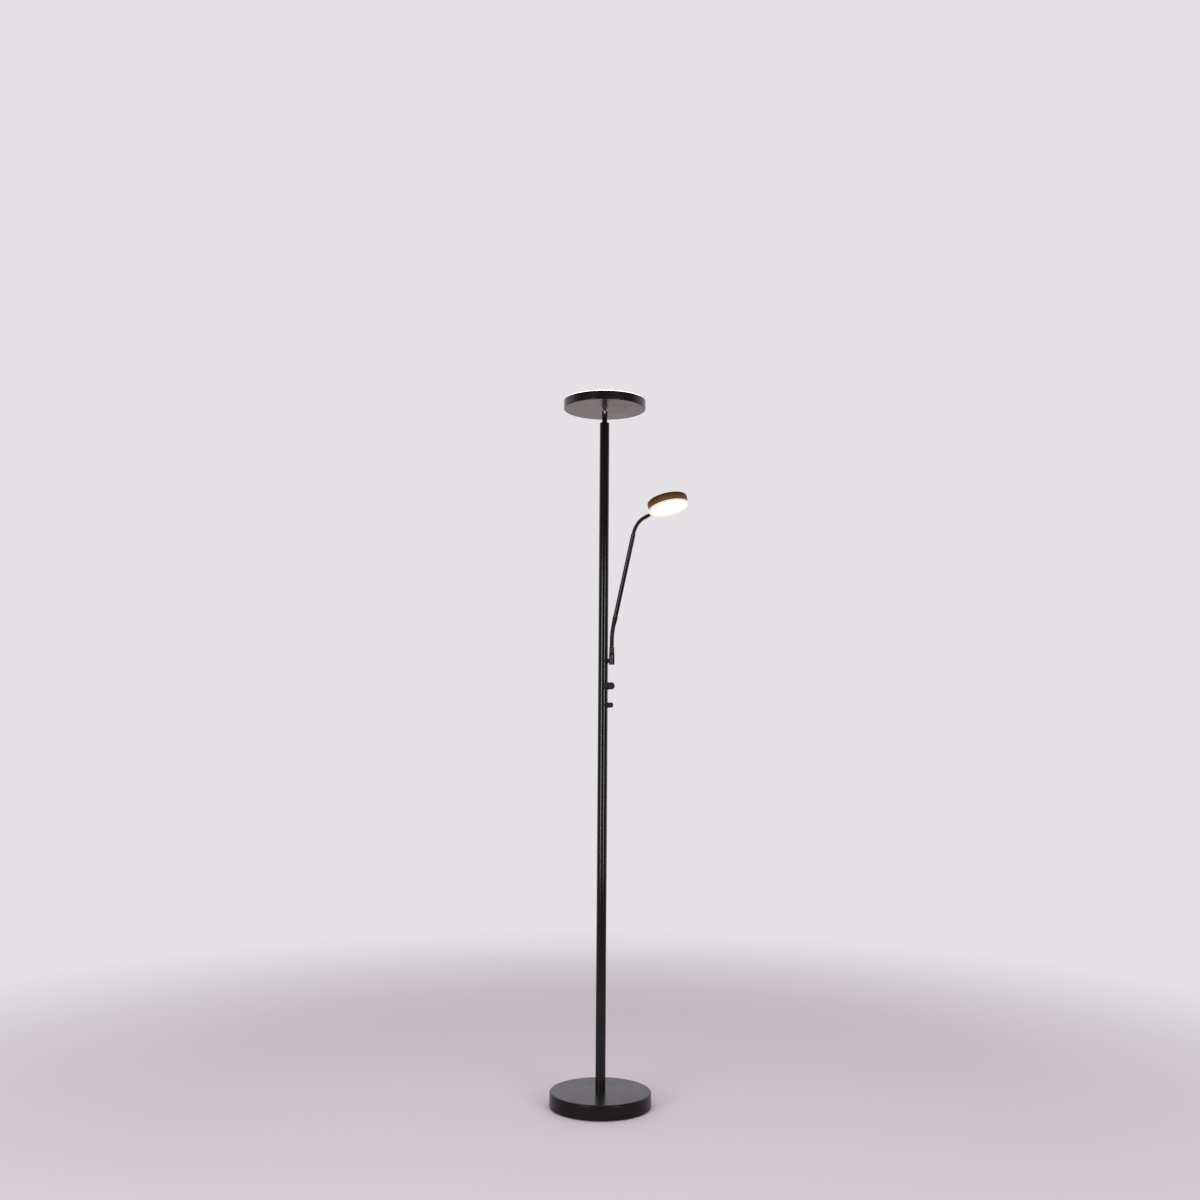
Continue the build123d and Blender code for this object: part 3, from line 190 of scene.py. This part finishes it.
floor_mesh = bpy.data.meshes.new("floor")
disc = bmesh.new()
bmesh.ops.create_circle(disc, cap_ends=True, segments=FLOOR_SIDES, radius=FLOOR_RADIUS)
disc.to_mesh(floor_mesh)
disc.free()
floor = bpy.data.objects.new("floor", floor_mesh)
scene.collection.objects.link(floor)
floor_finish, floor_tree, floor_shader = new_material("pale_matt_floor")
floor_shader.inputs["Base Color"].default_value = FLOOR_COLOUR
floor_shader.inputs["Roughness"].default_value = FLOOR_ROUGHNESS
floor_shader.inputs["Specular IOR Level"].default_value = FLOOR_SPECULAR
floor_place = add_node(floor_tree, "ShaderNodeTexCoord")
reach = add_node(floor_tree, "ShaderNodeVectorMath", operation="LENGTH")
floor_tree.links.new(floor_place.outputs["Object"], reach.inputs[0])
clear = add_node(floor_tree, "ShaderNodeBsdfTransparent")
fade = add_node(floor_tree, "ShaderNodeMixShader")
floor_tree.links.new(
    smooth_step(floor_tree, reach.outputs["Value"], FLOOR_FADE_START, FLOOR_FADE_END),
    fade.inputs["Fac"],
)
floor_tree.links.new(floor_shader.outputs["BSDF"], fade.inputs[1])
floor_tree.links.new(clear.outputs["BSDF"], fade.inputs[2])
floor_tree.links.new(fade.outputs["Shader"], floor_tree.nodes["Material Output"].inputs["Surface"])
floor_mesh.materials.append(floor_finish)


def soft_box(name, place, aim, width, height, power, colour):
    light = bpy.data.lights.new(name, "AREA")
    light.shape = "RECTANGLE"
    light.size = width
    light.size_y = height
    light.energy = power
    light.color = colour
    lamp = bpy.data.objects.new(name, light)
    scene.collection.objects.link(lamp)
    lamp.location = place
    lamp.rotation_euler = (Vector(aim) - Vector(place)).to_track_quat("-Z", "Y").to_euler()


soft_box(
    "soft_box_left",
    LEFT_BOX_PLACE,
    SIDE_BOX_AIM,
    LEFT_BOX_WIDTH,
    SIDE_BOX_HEIGHT,
    LEFT_BOX_POWER,
    SIDE_BOX_COLOUR,
)
soft_box(
    "soft_box_right",
    RIGHT_BOX_PLACE,
    SIDE_BOX_AIM,
    RIGHT_BOX_WIDTH,
    SIDE_BOX_HEIGHT,
    RIGHT_BOX_POWER,
    SIDE_BOX_COLOUR,
)
soft_box(
    "soft_box_overhead",
    OVERHEAD_BOX_PLACE,
    OVERHEAD_BOX_AIM,
    OVERHEAD_BOX_SIDE,
    OVERHEAD_BOX_SIDE,
    OVERHEAD_BOX_POWER,
    OVERHEAD_BOX_COLOUR,
)

# The base
# A pressed steel cover, powder coated satin black, over a cast weight and a steel bottom plate on
# an anti-slip rubber disc. A rubber gland at the back takes the lead. The driver sits inside.

PAINT_DARK = (0.0042, 0.0034, 0.0034, 1)
PAINT_LIGHT = (0.0068, 0.0056, 0.0056, 1)
PAINT_PEEL = 1500.0
PAINT_CLOUD = 14.0
COAT_ROUGHNESS = 0.28
COAT_RELIEF = 0.000006
RELIEF_DETAIL = 2.0
RELIEF_STRENGTH = 0.5
CLOUD_DETAIL = 4.0
CLOUD_LOW = 0.3
CLOUD_HIGH = 0.7
ROUGHNESS_LOW = 0.88  # share of a finish's roughness where the cloud is low
ROUGHNESS_HIGH = 1.14


def surface_grain_group():
    """Fine relief and a slow cloud for any finish, on Object coordinates."""
    group = bpy.data.node_groups.new("surface_grain", "ShaderNodeTree")
    for name in ("Grain Scale", "Cloud Scale"):
        group.interface.new_socket(name, in_out="INPUT", socket_type="NodeSocketFloat")
    for name in ("Relief", "Cloud"):
        group.interface.new_socket(name, in_out="OUTPUT", socket_type="NodeSocketFloat")
    group_in = add_node(group, "NodeGroupInput")
    group_out = add_node(group, "NodeGroupOutput")
    place = add_node(group, "ShaderNodeTexCoord")
    for scale, detail, output in (
        ("Grain Scale", RELIEF_DETAIL, "Relief"),
        ("Cloud Scale", CLOUD_DETAIL, "Cloud"),
    ):
        noise = add_node(group, "ShaderNodeTexNoise")
        noise.inputs["Detail"].default_value = detail
        group.links.new(place.outputs["Object"], noise.inputs["Vector"])
        group.links.new(group_in.outputs[scale], noise.inputs["Scale"])
        group.links.new(noise.outputs["Fac"], group_out.inputs[output])
    return group


surface_grain = surface_grain_group()


def finish_material(name, dark, light, rough, grain, cloud, relief, metal=0.0, specular=0.5):
    """One finish: two close tones, a roughness that wanders with the cloud, and fine relief.

    Grain and cloud are scales per metre, and relief is a height in metres.
    """
    material, tree, shader = new_material(name)
    texture = add_node(tree, "ShaderNodeGroup", node_tree=surface_grain)
    texture.inputs["Grain Scale"].default_value = grain
    texture.inputs["Cloud Scale"].default_value = cloud
    tone = mix_colours(tree, texture.outputs["Cloud"], dark, light)
    tree.links.new(tone, shader.inputs["Base Color"])
    gloss = add_node(tree, "ShaderNodeMapRange")
    gloss.inputs["From Min"].default_value = CLOUD_LOW
    gloss.inputs["From Max"].default_value = CLOUD_HIGH
    gloss.inputs["To Min"].default_value = rough * ROUGHNESS_LOW
    gloss.inputs["To Max"].default_value = rough * ROUGHNESS_HIGH
    tree.links.new(texture.outputs["Cloud"], gloss.inputs["Value"])
    tree.links.new(gloss.outputs["Result"], shader.inputs["Roughness"])
    bump = add_node(tree, "ShaderNodeBump")
    bump.inputs["Strength"].default_value = RELIEF_STRENGTH
    bump.inputs["Distance"].default_value = relief
    tree.links.new(texture.outputs["Relief"], bump.inputs["Height"])
    tree.links.new(bump.outputs["Normal"], shader.inputs["Normal"])
    shader.inputs["Metallic"].default_value = metal
    shader.inputs["Specular IOR Level"].default_value = specular
    return material


def dress(material, *names):
    """Gives CAD nodes their finish."""
    for name in names:
        mesh = frame["nodes"][name].data
        mesh.materials.clear()
        mesh.materials.append(material)


cover_paint = finish_material(
    "satin_black_cover_coat",
    dark=PAINT_DARK,
    light=PAINT_LIGHT,
    rough=COAT_ROUGHNESS,
    grain=PAINT_PEEL,
    cloud=PAINT_CLOUD,
    relief=COAT_RELIEF,
    specular=0.15,
)
rubber = finish_material(
    "black_rubber",
    dark=(0.011, 0.011, 0.011, 1),
    light=(0.02, 0.0195, 0.019, 1),
    rough=0.72,
    grain=900.0,
    cloud=22.0,
    relief=0.00008,
)
zinc_steel = finish_material(
    "zinc_plated_steel",
    dark=(0.36, 0.37, 0.38, 1),
    light=(0.5, 0.5, 0.5, 1),
    rough=0.36,
    grain=700.0,
    cloud=30.0,
    relief=0.00003,
    metal=1.0,
)
cast_iron = finish_material(
    "primed_cast_iron",
    dark=(0.045, 0.043, 0.042, 1),
    light=(0.085, 0.08, 0.077, 1),
    rough=0.78,
    grain=240.0,
    cloud=18.0,
    relief=0.0003,
)
driver_shell = finish_material(
    "pale_moulded_shell",
    dark=(0.6, 0.6, 0.58, 1),
    light=(0.7, 0.7, 0.68, 1),
    rough=0.5,
    grain=1200.0,
    cloud=15.0,
    relief=0.00004,
)
dress(cover_paint, "base_cover")
dress(rubber, "base_pad", "cord_gland")
dress(zinc_steel, "base_plate", "base_screws")
dress(cast_iron, "base_weight")
dress(driver_shell, "led_driver")

# The pole
# Three painted steel tubes on inside couplers, clamped to the base by a hollow stud and a flanged
# nut. A turned cap closes the top, and one sheathed wire runs inside.

wire_sheath = finish_material(
    "wire_sheath",
    dark=(0.02, 0.02, 0.02, 1),
    light=(0.032, 0.031, 0.03, 1),
    rough=0.5,
    grain=800.0,
    cloud=30.0,
    relief=0.00005,
)
tube_paint = finish_material(
    "gloss_black_tube_paint",
    dark=PAINT_DARK,
    light=PAINT_LIGHT,
    rough=0.15,
    grain=PAINT_PEEL,
    cloud=PAINT_CLOUD,
    relief=0.0000003,
    specular=0.23,
)
dress(tube_paint, "pole_lower", "pole_middle", "pole_upper", "pole_top_cap")
dress(zinc_steel, "pole_stud", "base_nut", "pole_foot", "pole_joiner_lower", "pole_joiner_upper")
dress(wire_sheath, "pole_wire")

# The tilt knuckle
# A turned and slotted steel neck, painted like the pole, with a black pin across its cheeks. The
# tongue between them is pale up to just above the fork, dark above it, and carries the uplight.

TONGUE_PALE_ABOVE_FORK = 0.0006
TONGUE_DARK_EDGE = 0.0006

pale_tongue = finish_material(
    "pale_tongue_dark_above",
    dark=(0.8, 0.79, 0.785, 1),
    light=(0.88, 0.875, 0.87, 1),
    rough=0.45,
    grain=900.0,
    cloud=60.0,
    relief=0.00001,
)
tongue_tree = pale_tongue.node_tree
tongue_tone = tongue_tree.nodes["Principled BSDF"].inputs["Base Color"]
pale_tone = tongue_tone.links[0].from_socket
tongue_place = add_node(tongue_tree, "ShaderNodeTexCoord")
tongue_height = add_node(tongue_tree, "ShaderNodeSeparateXYZ")
tongue_tree.links.new(tongue_place.outputs["Object"], tongue_height.inputs["Vector"])
# The tongue keeps its pale tone up to just above the fork's top and takes the pole's dark tone
# above it.
pale_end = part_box("neck_fork")[1].z + TONGUE_PALE_ABOVE_FORK
dark_share = smooth_step(
    tongue_tree, tongue_height.outputs["Z"], pale_end, pale_end + TONGUE_DARK_EDGE
)
tongue_tree.links.new(mix_colours(tongue_tree, dark_share, pale_tone, PAINT_LIGHT), tongue_tone)
black_oxide = finish_material(
    "black_oxide_steel",
    dark=(0.016, 0.016, 0.017, 1),
    light=(0.03, 0.03, 0.031, 1),
    rough=0.38,
    grain=900.0,
    cloud=60.0,
    relief=0.00002,
    metal=0.6,
)
dress(tube_paint, "neck_fork")
dress(pale_tongue, "tilt_tongue")
dress(black_oxide, "tilt_pin")
dress(zinc_steel, "tongue_nut")

# The uplight
# A shallow spun steel pan, painted black. Inside, a heat plate carries the LED board, and an opal
# acrylic disc closes the top and glows evenly.

GLOW_CLOUD = 20.0
MILK_LIFT = 1.06  # how much lighter the milky tone gets with the cloud
GLOW_WARMING = (1.0, 0.97, 0.93)  # how the glow's colour changes with it


def glowing_material(name, tone, glow, strength, rough):
    """Lit acrylic or phosphor: its tone, soft gloss and an even glow that wanders slightly."""
    material, tree, shader = new_material(name)
    texture = add_node(tree, "ShaderNodeGroup", node_tree=surface_grain)
    texture.inputs["Cloud Scale"].default_value = GLOW_CLOUD
    lighter = tuple(part * MILK_LIFT for part in tone[:3]) + (1,)
    warmer = tuple(part * share for part, share in zip(glow, GLOW_WARMING)) + (1,)
    milk = mix_colours(tree, texture.outputs["Cloud"], tone, lighter)
    tree.links.new(milk, shader.inputs["Base Color"])
    warm = mix_colours(tree, texture.outputs["Cloud"], glow, warmer)
    tree.links.new(warm, shader.inputs["Emission Color"])
    shader.inputs["Emission Strength"].default_value = strength
    shader.inputs["Roughness"].default_value = rough
    return material


aluminium = finish_material(
    "plain_aluminium_sheet",
    dark=(0.62, 0.63, 0.64, 1),
    light=(0.72, 0.73, 0.74, 1),
    rough=0.34,
    grain=500.0,
    cloud=26.0,
    relief=0.00003,
    metal=1.0,
)
solder_mask = finish_material(
    "white_solder_mask",
    dark=(0.78, 0.78, 0.76, 1),
    light=(0.85, 0.85, 0.83, 1),
    rough=0.3,
    grain=1500.0,
    cloud=25.0,
    relief=0.00002,
)
phosphor = glowing_material(
    "led_phosphor",
    tone=(0.85, 0.62, 0.2, 1),
    glow=(1.0, 0.86, 0.6, 1),
    strength=2.0,
    rough=0.4,
)
pan_paint = finish_material(
    "satin_black_pan_coat",
    dark=PAINT_DARK,
    light=PAINT_LIGHT,
    rough=COAT_ROUGHNESS,
    grain=PAINT_PEEL,
    cloud=PAINT_CLOUD,
    relief=COAT_RELIEF,
    specular=0.24,
)
uplight_opal = glowing_material(
    "uplight_opal",
    tone=(0.86, 0.84, 0.8, 1),
    glow=(1.0, 0.93, 0.8, 1),
    strength=1.6,
    rough=0.35,
)
dress(pan_paint, "uplight_pan")
dress(aluminium, "uplight_heat_plate")
dress(solder_mask, "uplight_board")
dress(zinc_steel, "uplight_screws")
dress(phosphor, "uplight_leds")
dress(uplight_opal, "uplight_diffuser")

# The controls
# Two moulded turn knobs on saddle collars, in black plastic a little duller than the paint. Their
# shafts run into potentiometers inside the pole.

knob_plastic = finish_material(
    "satin_black_plastic",
    dark=(0.005, 0.0045, 0.005, 1),
    light=(0.0085, 0.0075, 0.0085, 1),
    rough=0.38,
    grain=2200.0,
    cloud=40.0,
    relief=0.000008,
    specular=0.28,
)
dress(knob_plastic, "dimmer_knob", "dimmer_collar", "switch_knob", "switch_collar")
dress(zinc_steel, "dimmer_shaft", "switch_shaft", "dimmer_pot", "switch_pot")

# The arm's bracket, socket and tube
# A turned bracket bolted through the pole, a stepped socket that swivels on its pin, and a drawn
# tube on a turned cone, all painted black. A steel ferrule plugs the tube's upper end.

dress(tube_paint, "arm_bracket", "arm_socket", "tube_ferrule_lower", "arm_tube")
dress(zinc_steel, "bracket_nut", "tube_ferrule_upper")
dress(black_oxide, "pivot_screw")

# The goosenecks
# Each is a hose wound from steel wire, painted black, whose turns show as fine ribs. It is made as
# one wound tube along its bend, then parted between the joints into one piece around each joint.

LOWER_HOSE_RADIUS = 0.00545
UPPER_HOSE_RADIUS = 0.0047
HOSE_PITCH = 0.0016
HOSE_GROOVE = 0.00032
HOSE_GROOVE_SHARPNESS = 5.0
HOSE_SIDES = 28
HOSE_RINGS_PER_TURN = 9
HOSE_TUCK = 0.0016  # hose past its first and its last joint
BEND_POINTS = 24  # between one joint and the next
LINK_COUNT = 5

hose_paint = finish_material(
    "hose_paint",
    dark=PAINT_DARK,
    light=PAINT_LIGHT,
    rough=0.3,
    grain=PAINT_PEEL,
    cloud=40.0,
    relief=COAT_RELIEF,
    specular=0.27,
)


def wound_hose_tree():
    """Turns a line into a hose: a round tube whose wall is drawn in along one winding groove."""
    tree = bpy.data.node_groups.new("wound_hose", "GeometryNodeTree")
    tree.interface.new_socket("Line", in_out="INPUT", socket_type="NodeSocketGeometry")
    for name in ("Radius", "Pitch", "Groove", "Ring Spacing"):
        tree.interface.new_socket(name, in_out="INPUT", socket_type="NodeSocketFloat")
    tree.interface.new_socket("Sides", in_out="INPUT", socket_type="NodeSocketInt")
    tree.interface.new_socket("Finish", in_out="INPUT", socket_type="NodeSocketMaterial")
    tree.interface.new_socket("Hose", in_out="OUTPUT", socket_type="NodeSocketGeometry")
    links = tree.links
    group_in = add_node(tree, "NodeGroupInput")
    group_out = add_node(tree, "NodeGroupOutput")

    to_curve = add_node(tree, "GeometryNodeMeshToCurve")
    links.new(group_in.outputs["Line"], to_curve.inputs["Mesh"])
    rings = add_node(tree, "GeometryNodeResampleCurve", mode="LENGTH")
    links.new(to_curve.outputs["Curve"], rings.inputs["Curve"])
    links.new(group_in.outputs["Ring Spacing"], rings.inputs["Length"])
    run = add_node(tree, "GeometryNodeSplineParameter")
    keep_run = add_node(tree, "GeometryNodeCaptureAttribute", domain="POINT")
    keep_run.capture_items.new("FLOAT", "Run")
    links.new(rings.outputs["Curve"], keep_run.inputs["Geometry"])
    links.new(run.outputs["Length"], keep_run.inputs["Run"])

    ring = add_node(tree, "GeometryNodeCurvePrimitiveCircle")
    links.new(group_in.outputs["Radius"], ring.inputs["Radius"])
    links.new(group_in.outputs["Sides"], ring.inputs["Resolution"])
    turn = add_node(tree, "GeometryNodeSplineParameter")
    keep_turn = add_node(tree, "GeometryNodeCaptureAttribute", domain="POINT")
    keep_turn.capture_items.new("FLOAT", "Turn")
    links.new(ring.outputs["Curve"], keep_turn.inputs["Geometry"])
    links.new(turn.outputs["Factor"], keep_turn.inputs["Turn"])

    skin = add_node(tree, "GeometryNodeCurveToMesh")
    links.new(keep_run.outputs["Geometry"], skin.inputs["Curve"])
    links.new(keep_turn.outputs["Geometry"], skin.inputs["Profile Curve"])

    turns = calculate(tree, "DIVIDE", keep_run.outputs["Run"], group_in.outputs["Pitch"])
    phase = calculate(tree, "SUBTRACT", turns, keep_turn.outputs["Turn"])
    wave = calculate(tree, "COSINE", calculate(tree, "MULTIPLY", phase, pi))
    valley = calculate(tree, "POWER", calculate(tree, "ABSOLUTE", wave), HOSE_GROOVE_SHARPNESS)
    depth = calculate(tree, "MULTIPLY", valley, group_in.outputs["Groove"])
    inward = calculate(tree, "MULTIPLY", depth, -1.0)
    normal = add_node(tree, "GeometryNodeInputNormal")
    shift = add_node(tree, "ShaderNodeVectorMath", operation="SCALE")
    links.new(normal.outputs["Normal"], shift.inputs[0])
    links.new(inward, shift.inputs["Scale"])
    wind = add_node(tree, "GeometryNodeSetPosition")
    links.new(skin.outputs["Mesh"], wind.inputs["Geometry"])
    links.new(shift.outputs["Vector"], wind.inputs["Offset"])

    smooth = add_node(tree, "GeometryNodeSetShadeSmooth")
    links.new(wind.outputs["Geometry"], smooth.inputs["Geometry"])
    real = add_node(tree, "GeometryNodeRealizeInstances")
    links.new(smooth.outputs["Geometry"], real.inputs["Geometry"])
    paint = add_node(tree, "GeometryNodeSetMaterial")
    links.new(real.outputs["Geometry"], paint.inputs["Geometry"])
    links.new(group_in.outputs["Finish"], paint.inputs["Material"])
    links.new(paint.outputs["Geometry"], group_out.inputs["Hose"])
    return tree


wound_hose = wound_hose_tree()
joints = {joint["name"]: joint for joint in frame["joints"]}


def run_along(name, points, tree, inputs):
    """Runs a Geometry Nodes tree on a line through points and gives back the plain mesh."""
    line = bpy.data.meshes.new(name + "_line")
    line.from_pydata(points, [(i, i + 1) for i in range(len(points) - 1)], [])
    holder = bpy.data.objects.new(name + "_line", line)
    scene.collection.objects.link(holder)
    modifier = holder.modifiers.new("made", "NODES")
    modifier.node_group = tree
    for socket in tree.interface.items_tree:
        if socket.in_out == "INPUT" and socket.name in inputs:
            modifier[socket.identifier] = inputs[socket.name]
    bpy.context.view_layer.update()
    evaluated = holder.evaluated_get(bpy.context.evaluated_depsgraph_get())
    mesh = bpy.data.meshes.new_from_object(evaluated)
    holder.modifiers.remove(modifier)
    bpy.data.objects.remove(holder)
    return mesh


def bend_line(stations, tuck):
    """Points along the smooth bend through a gooseneck's joints, run on straight at both ends."""
    ways = [(after - before) / 2 for before, after in zip(stations, stations[2:])]
    ways.insert(0, 2 * (stations[1] - stations[0]) - ways[0])
    ways.append(2 * (stations[-1] - stations[-2]) - ways[-1])
    line = [stations[0] - ways[0].normalized() * tuck]
    for start, end, leave, arrive in zip(stations, stations[1:], ways, ways[1:]):
        line += interpolate_bezier(
            start, start + leave / 3, end - arrive / 3, end, BEND_POINTS
        )[:-1]
    return line + [stations[-1], stations[-1] + ways[-1].normalized() * tuck]


def cut_between(mesh, name, cuts):
    """A copy of a mesh without what lies past each cut, given as a point and a way out."""
    part = bmesh.new()
    part.from_mesh(mesh)
    for point, way in cuts:
        bmesh.ops.bisect_plane(
            part,
            geom=part.verts[:] + part.edges[:] + part.faces[:],
            plane_co=point,
            plane_no=way,
            clear_outer=True,
        )
    bmesh.ops.recalc_face_normals(part, faces=part.faces[:])
    piece_mesh = bpy.data.meshes.new(name)
    part.to_mesh(piece_mesh)
    part.free()
    return piece_mesh


def make_gooseneck(prefix, radius, joint_names, link_names):
    """One wound hose through its joints, cut into one piece around each joint."""
    stations = [Vector(joints[name]["pos_m"]) for name in joint_names]
    hose = run_along(
        prefix,
        bend_line(stations, HOSE_TUCK),
        wound_hose,
        {
            "Radius": radius,
            "Pitch": HOSE_PITCH,
            "Groove": HOSE_GROOVE,
            "Ring Spacing": HOSE_PITCH / HOSE_RINGS_PER_TURN,
            "Sides": HOSE_SIDES,
            "Finish": hose_paint,
        },
    )
    middles = [(a + b) / 2 for a, b in zip(stations, stations[1:])]
    ways = [(b - a).normalized() for a, b in zip(stations, stations[1:])]
    for index, station in enumerate(stations):
        first, last = index == 0, index == len(middles)
        start = 2 * station - middles[0] if first else middles[index - 1]
        end = 2 * station - middles[-1] if last else middles[index]
        cuts = []
        if not first:
            cuts.append((start, -ways[index - 1]))
        if not last:
            cuts.append((end, ways[index]))
        name = f"{prefix}_{index + 1}"
        piece = bpy.data.objects.new(name, cut_between(hose, name, cuts))
        piece.data.materials.append(hose_paint)
        scene.collection.objects.link(piece)
        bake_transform(piece)
        if index < len(link_names):
            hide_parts(link_names[index])


numbers = range(1, LINK_COUNT + 1)
for level, root, tip, radius in (
    ("lower", "arm_root", "arm", LOWER_HOSE_RADIUS),
    ("upper", "arm", "reading_head", UPPER_HOSE_RADIUS),
):
    make_gooseneck(
        f"{level}_gooseneck",
        radius,
        [f"{level}_{kind}{turn}" for turn in ("", "_2", "_3") for kind in ("bend", "sway")],
        [f"{level}_link_{i}" for i in numbers],
    )

# The reading head
# A die-cast cup with ribs all round, black anodised, on a turned tip. A frosted ring and an opal
# lens close it. The warm spill between the ribs is painted light: a glow on the cup, with painted
# shade on the rib crests.

LENS_GLOW = (1.0, 0.985, 0.94, 1)
LENS_EDGE_GLOW = (0.80, 0.74, 0.55, 1)
LENS_STRENGTH = 1.1
LENS_EVEN_RADIUS = 0.030  # the glow is even up to here
LENS_EDGE_RADIUS = 0.0425
RING_INNER_GLOW = (0.93, 0.87, 0.72, 1)
RING_OUTER_GLOW = (0.60, 0.53, 0.38, 1)
RING_STRENGTH = 0.82
RING_INNER_RADIUS = 0.043
RING_OUTER_RADIUS = 0.0515
# Painted light on the cup: a warm glow, strongest next to the lens, standing in for the ring's
# spill.
PAINTED_SPILL_COLOUR = (0.2, 0.074, 0.016, 1)
PAINTED_SPILL_FADED = (0.016, 0.0055, 0.0014, 1)
PAINTED_SPILL_STRENGTH = 0.9
PAINTED_SPILL_START = 0.002  # behind the middle of the lens
PAINTED_SPILL_END = 0.021
# Painted shade: the painted spill is darkened toward each rib's crest.
RIB_CREST_PAINTED_SHADE = (0.5, 0.47, 0.42, 1)
RIB_FLANK_RADIUS = 0.0488  # where a rib starts to catch less of the spill
RIB_CREST_RADIUS = 0.0499

lens_low, lens_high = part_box("reading_lens")
cup_low, cup_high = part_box("reading_housing")
lens_middle = (lens_low + lens_high) / 2
head_axis = Vector(joints["upper_sway_3"]["axis"]).normalized()
if (lens_middle - (cup_low + cup_high) / 2).dot(head_axis) < 0:
    head_axis = -head_axis


def head_place_group():
    """Where a point lies on the reading head: its distance from the axis and behind the lens."""
    group = bpy.data.node_groups.new("head_place", "ShaderNodeTree")
    for name in ("Radius", "Behind"):
        group.interface.new_socket(name, in_out="OUTPUT", socket_type="NodeSocketFloat")
    group_out = add_node(group, "NodeGroupOutput")
    place = add_node(group, "ShaderNodeTexCoord")
    offset = add_node(group, "ShaderNodeVectorMath", operation="SUBTRACT")
    offset.inputs[1].default_value = lens_middle
    group.links.new(place.outputs["Object"], offset.inputs[0])
    behind = add_node(group, "ShaderNodeVectorMath", operation="DOT_PRODUCT")
    behind.inputs[1].default_value = -head_axis
    group.links.new(offset.outputs["Vector"], behind.inputs[0])
    around = add_node(group, "ShaderNodeVectorMath", operation="CROSS_PRODUCT")
    around.inputs[1].default_value = head_axis
    group.links.new(offset.outputs["Vector"], around.inputs[0])
    radius = add_node(group, "ShaderNodeVectorMath", operation="LENGTH")
    group.links.new(around.outputs["Vector"], radius.inputs[0])
    group.links.new(radius.outputs["Value"], group_out.inputs["Radius"])
    group.links.new(behind.outputs["Value"], group_out.inputs["Behind"])
    return group


head_place = head_place_group()


def lit_by_place(material, strength, output, low, high, glow_low, glow_high):
    """Lets a material glow in a colour that changes with its place on the head."""
    tree = material.node_tree
    shader = tree.nodes["Principled BSDF"]
    where = add_node(tree, "ShaderNodeGroup", node_tree=head_place)
    share = smooth_step(tree, where.outputs[output], low, high)
    tree.links.new(
        mix_colours(tree, share, glow_low, glow_high), shader.inputs["Emission Color"]
    )
    shader.inputs["Emission Strength"].default_value = strength


reading_opal = finish_material(
    "reading_opal",
    dark=(0.34, 0.33, 0.31, 1),
    light=(0.38, 0.37, 0.35, 1),
    rough=0.35,
    grain=1600.0,
    cloud=30.0,
    relief=0.00001,
)
lit_by_place(
    reading_opal,
    LENS_STRENGTH,
    "Radius",
    LENS_EVEN_RADIUS,
    LENS_EDGE_RADIUS,
    LENS_GLOW,
    LENS_EDGE_GLOW,
)
frosted_ring = finish_material(
    "frosted_ring",
    dark=(0.3, 0.27, 0.2, 1),
    light=(0.36, 0.33, 0.25, 1),
    rough=0.3,
    grain=1600.0,
    cloud=30.0,
    relief=0.00001,
)
lit_by_place(
    frosted_ring,
    RING_STRENGTH,
    "Radius",
    RING_INNER_RADIUS,
    RING_OUTER_RADIUS,
    RING_INNER_GLOW,
    RING_OUTER_GLOW,
)
# The black cup glows with painted light, though it is no lamp, and painted shade darkens the glow
# on the crests.
ribs_with_painted_spill = finish_material(
    "black_ribs_painted_spill",
    dark=(0.006, 0.0055, 0.005, 1),
    light=(0.01, 0.009, 0.0085, 1),
    rough=0.42,
    grain=1800.0,
    cloud=40.0,
    relief=0.00001,
    specular=0.15,
)
lit_by_place(
    ribs_with_painted_spill,
    PAINTED_SPILL_STRENGTH,
    "Behind",
    PAINTED_SPILL_START,
    PAINTED_SPILL_END,
    PAINTED_SPILL_COLOUR,
    PAINTED_SPILL_FADED,
)
rib_tree = ribs_with_painted_spill.node_tree
rib_painted_glow = rib_tree.nodes["Principled BSDF"].inputs["Emission Color"]
painted_spill = rib_painted_glow.links[0].from_socket
# Painted shade on the rib crests.
rib_place = add_node(rib_tree, "ShaderNodeGroup", node_tree=head_place)
on_crest = smooth_step(rib_tree, rib_place.outputs["Radius"], RIB_FLANK_RADIUS, RIB_CREST_RADIUS)
rib_tree.links.new(
    mix_colours(rib_tree, on_crest, painted_spill, RIB_CREST_PAINTED_SHADE, blend="MULTIPLY"), rib_painted_glow
)

dress(pan_paint, "arm_tip")
dress(zinc_steel, "tip_nut")
dress(ribs_with_painted_spill, "reading_housing")
dress(solder_mask, "reading_board", "reading_reflector")
dress(phosphor, "reading_leds")
dress(frosted_ring, "lens_ring")
dress(reading_opal, "reading_lens")
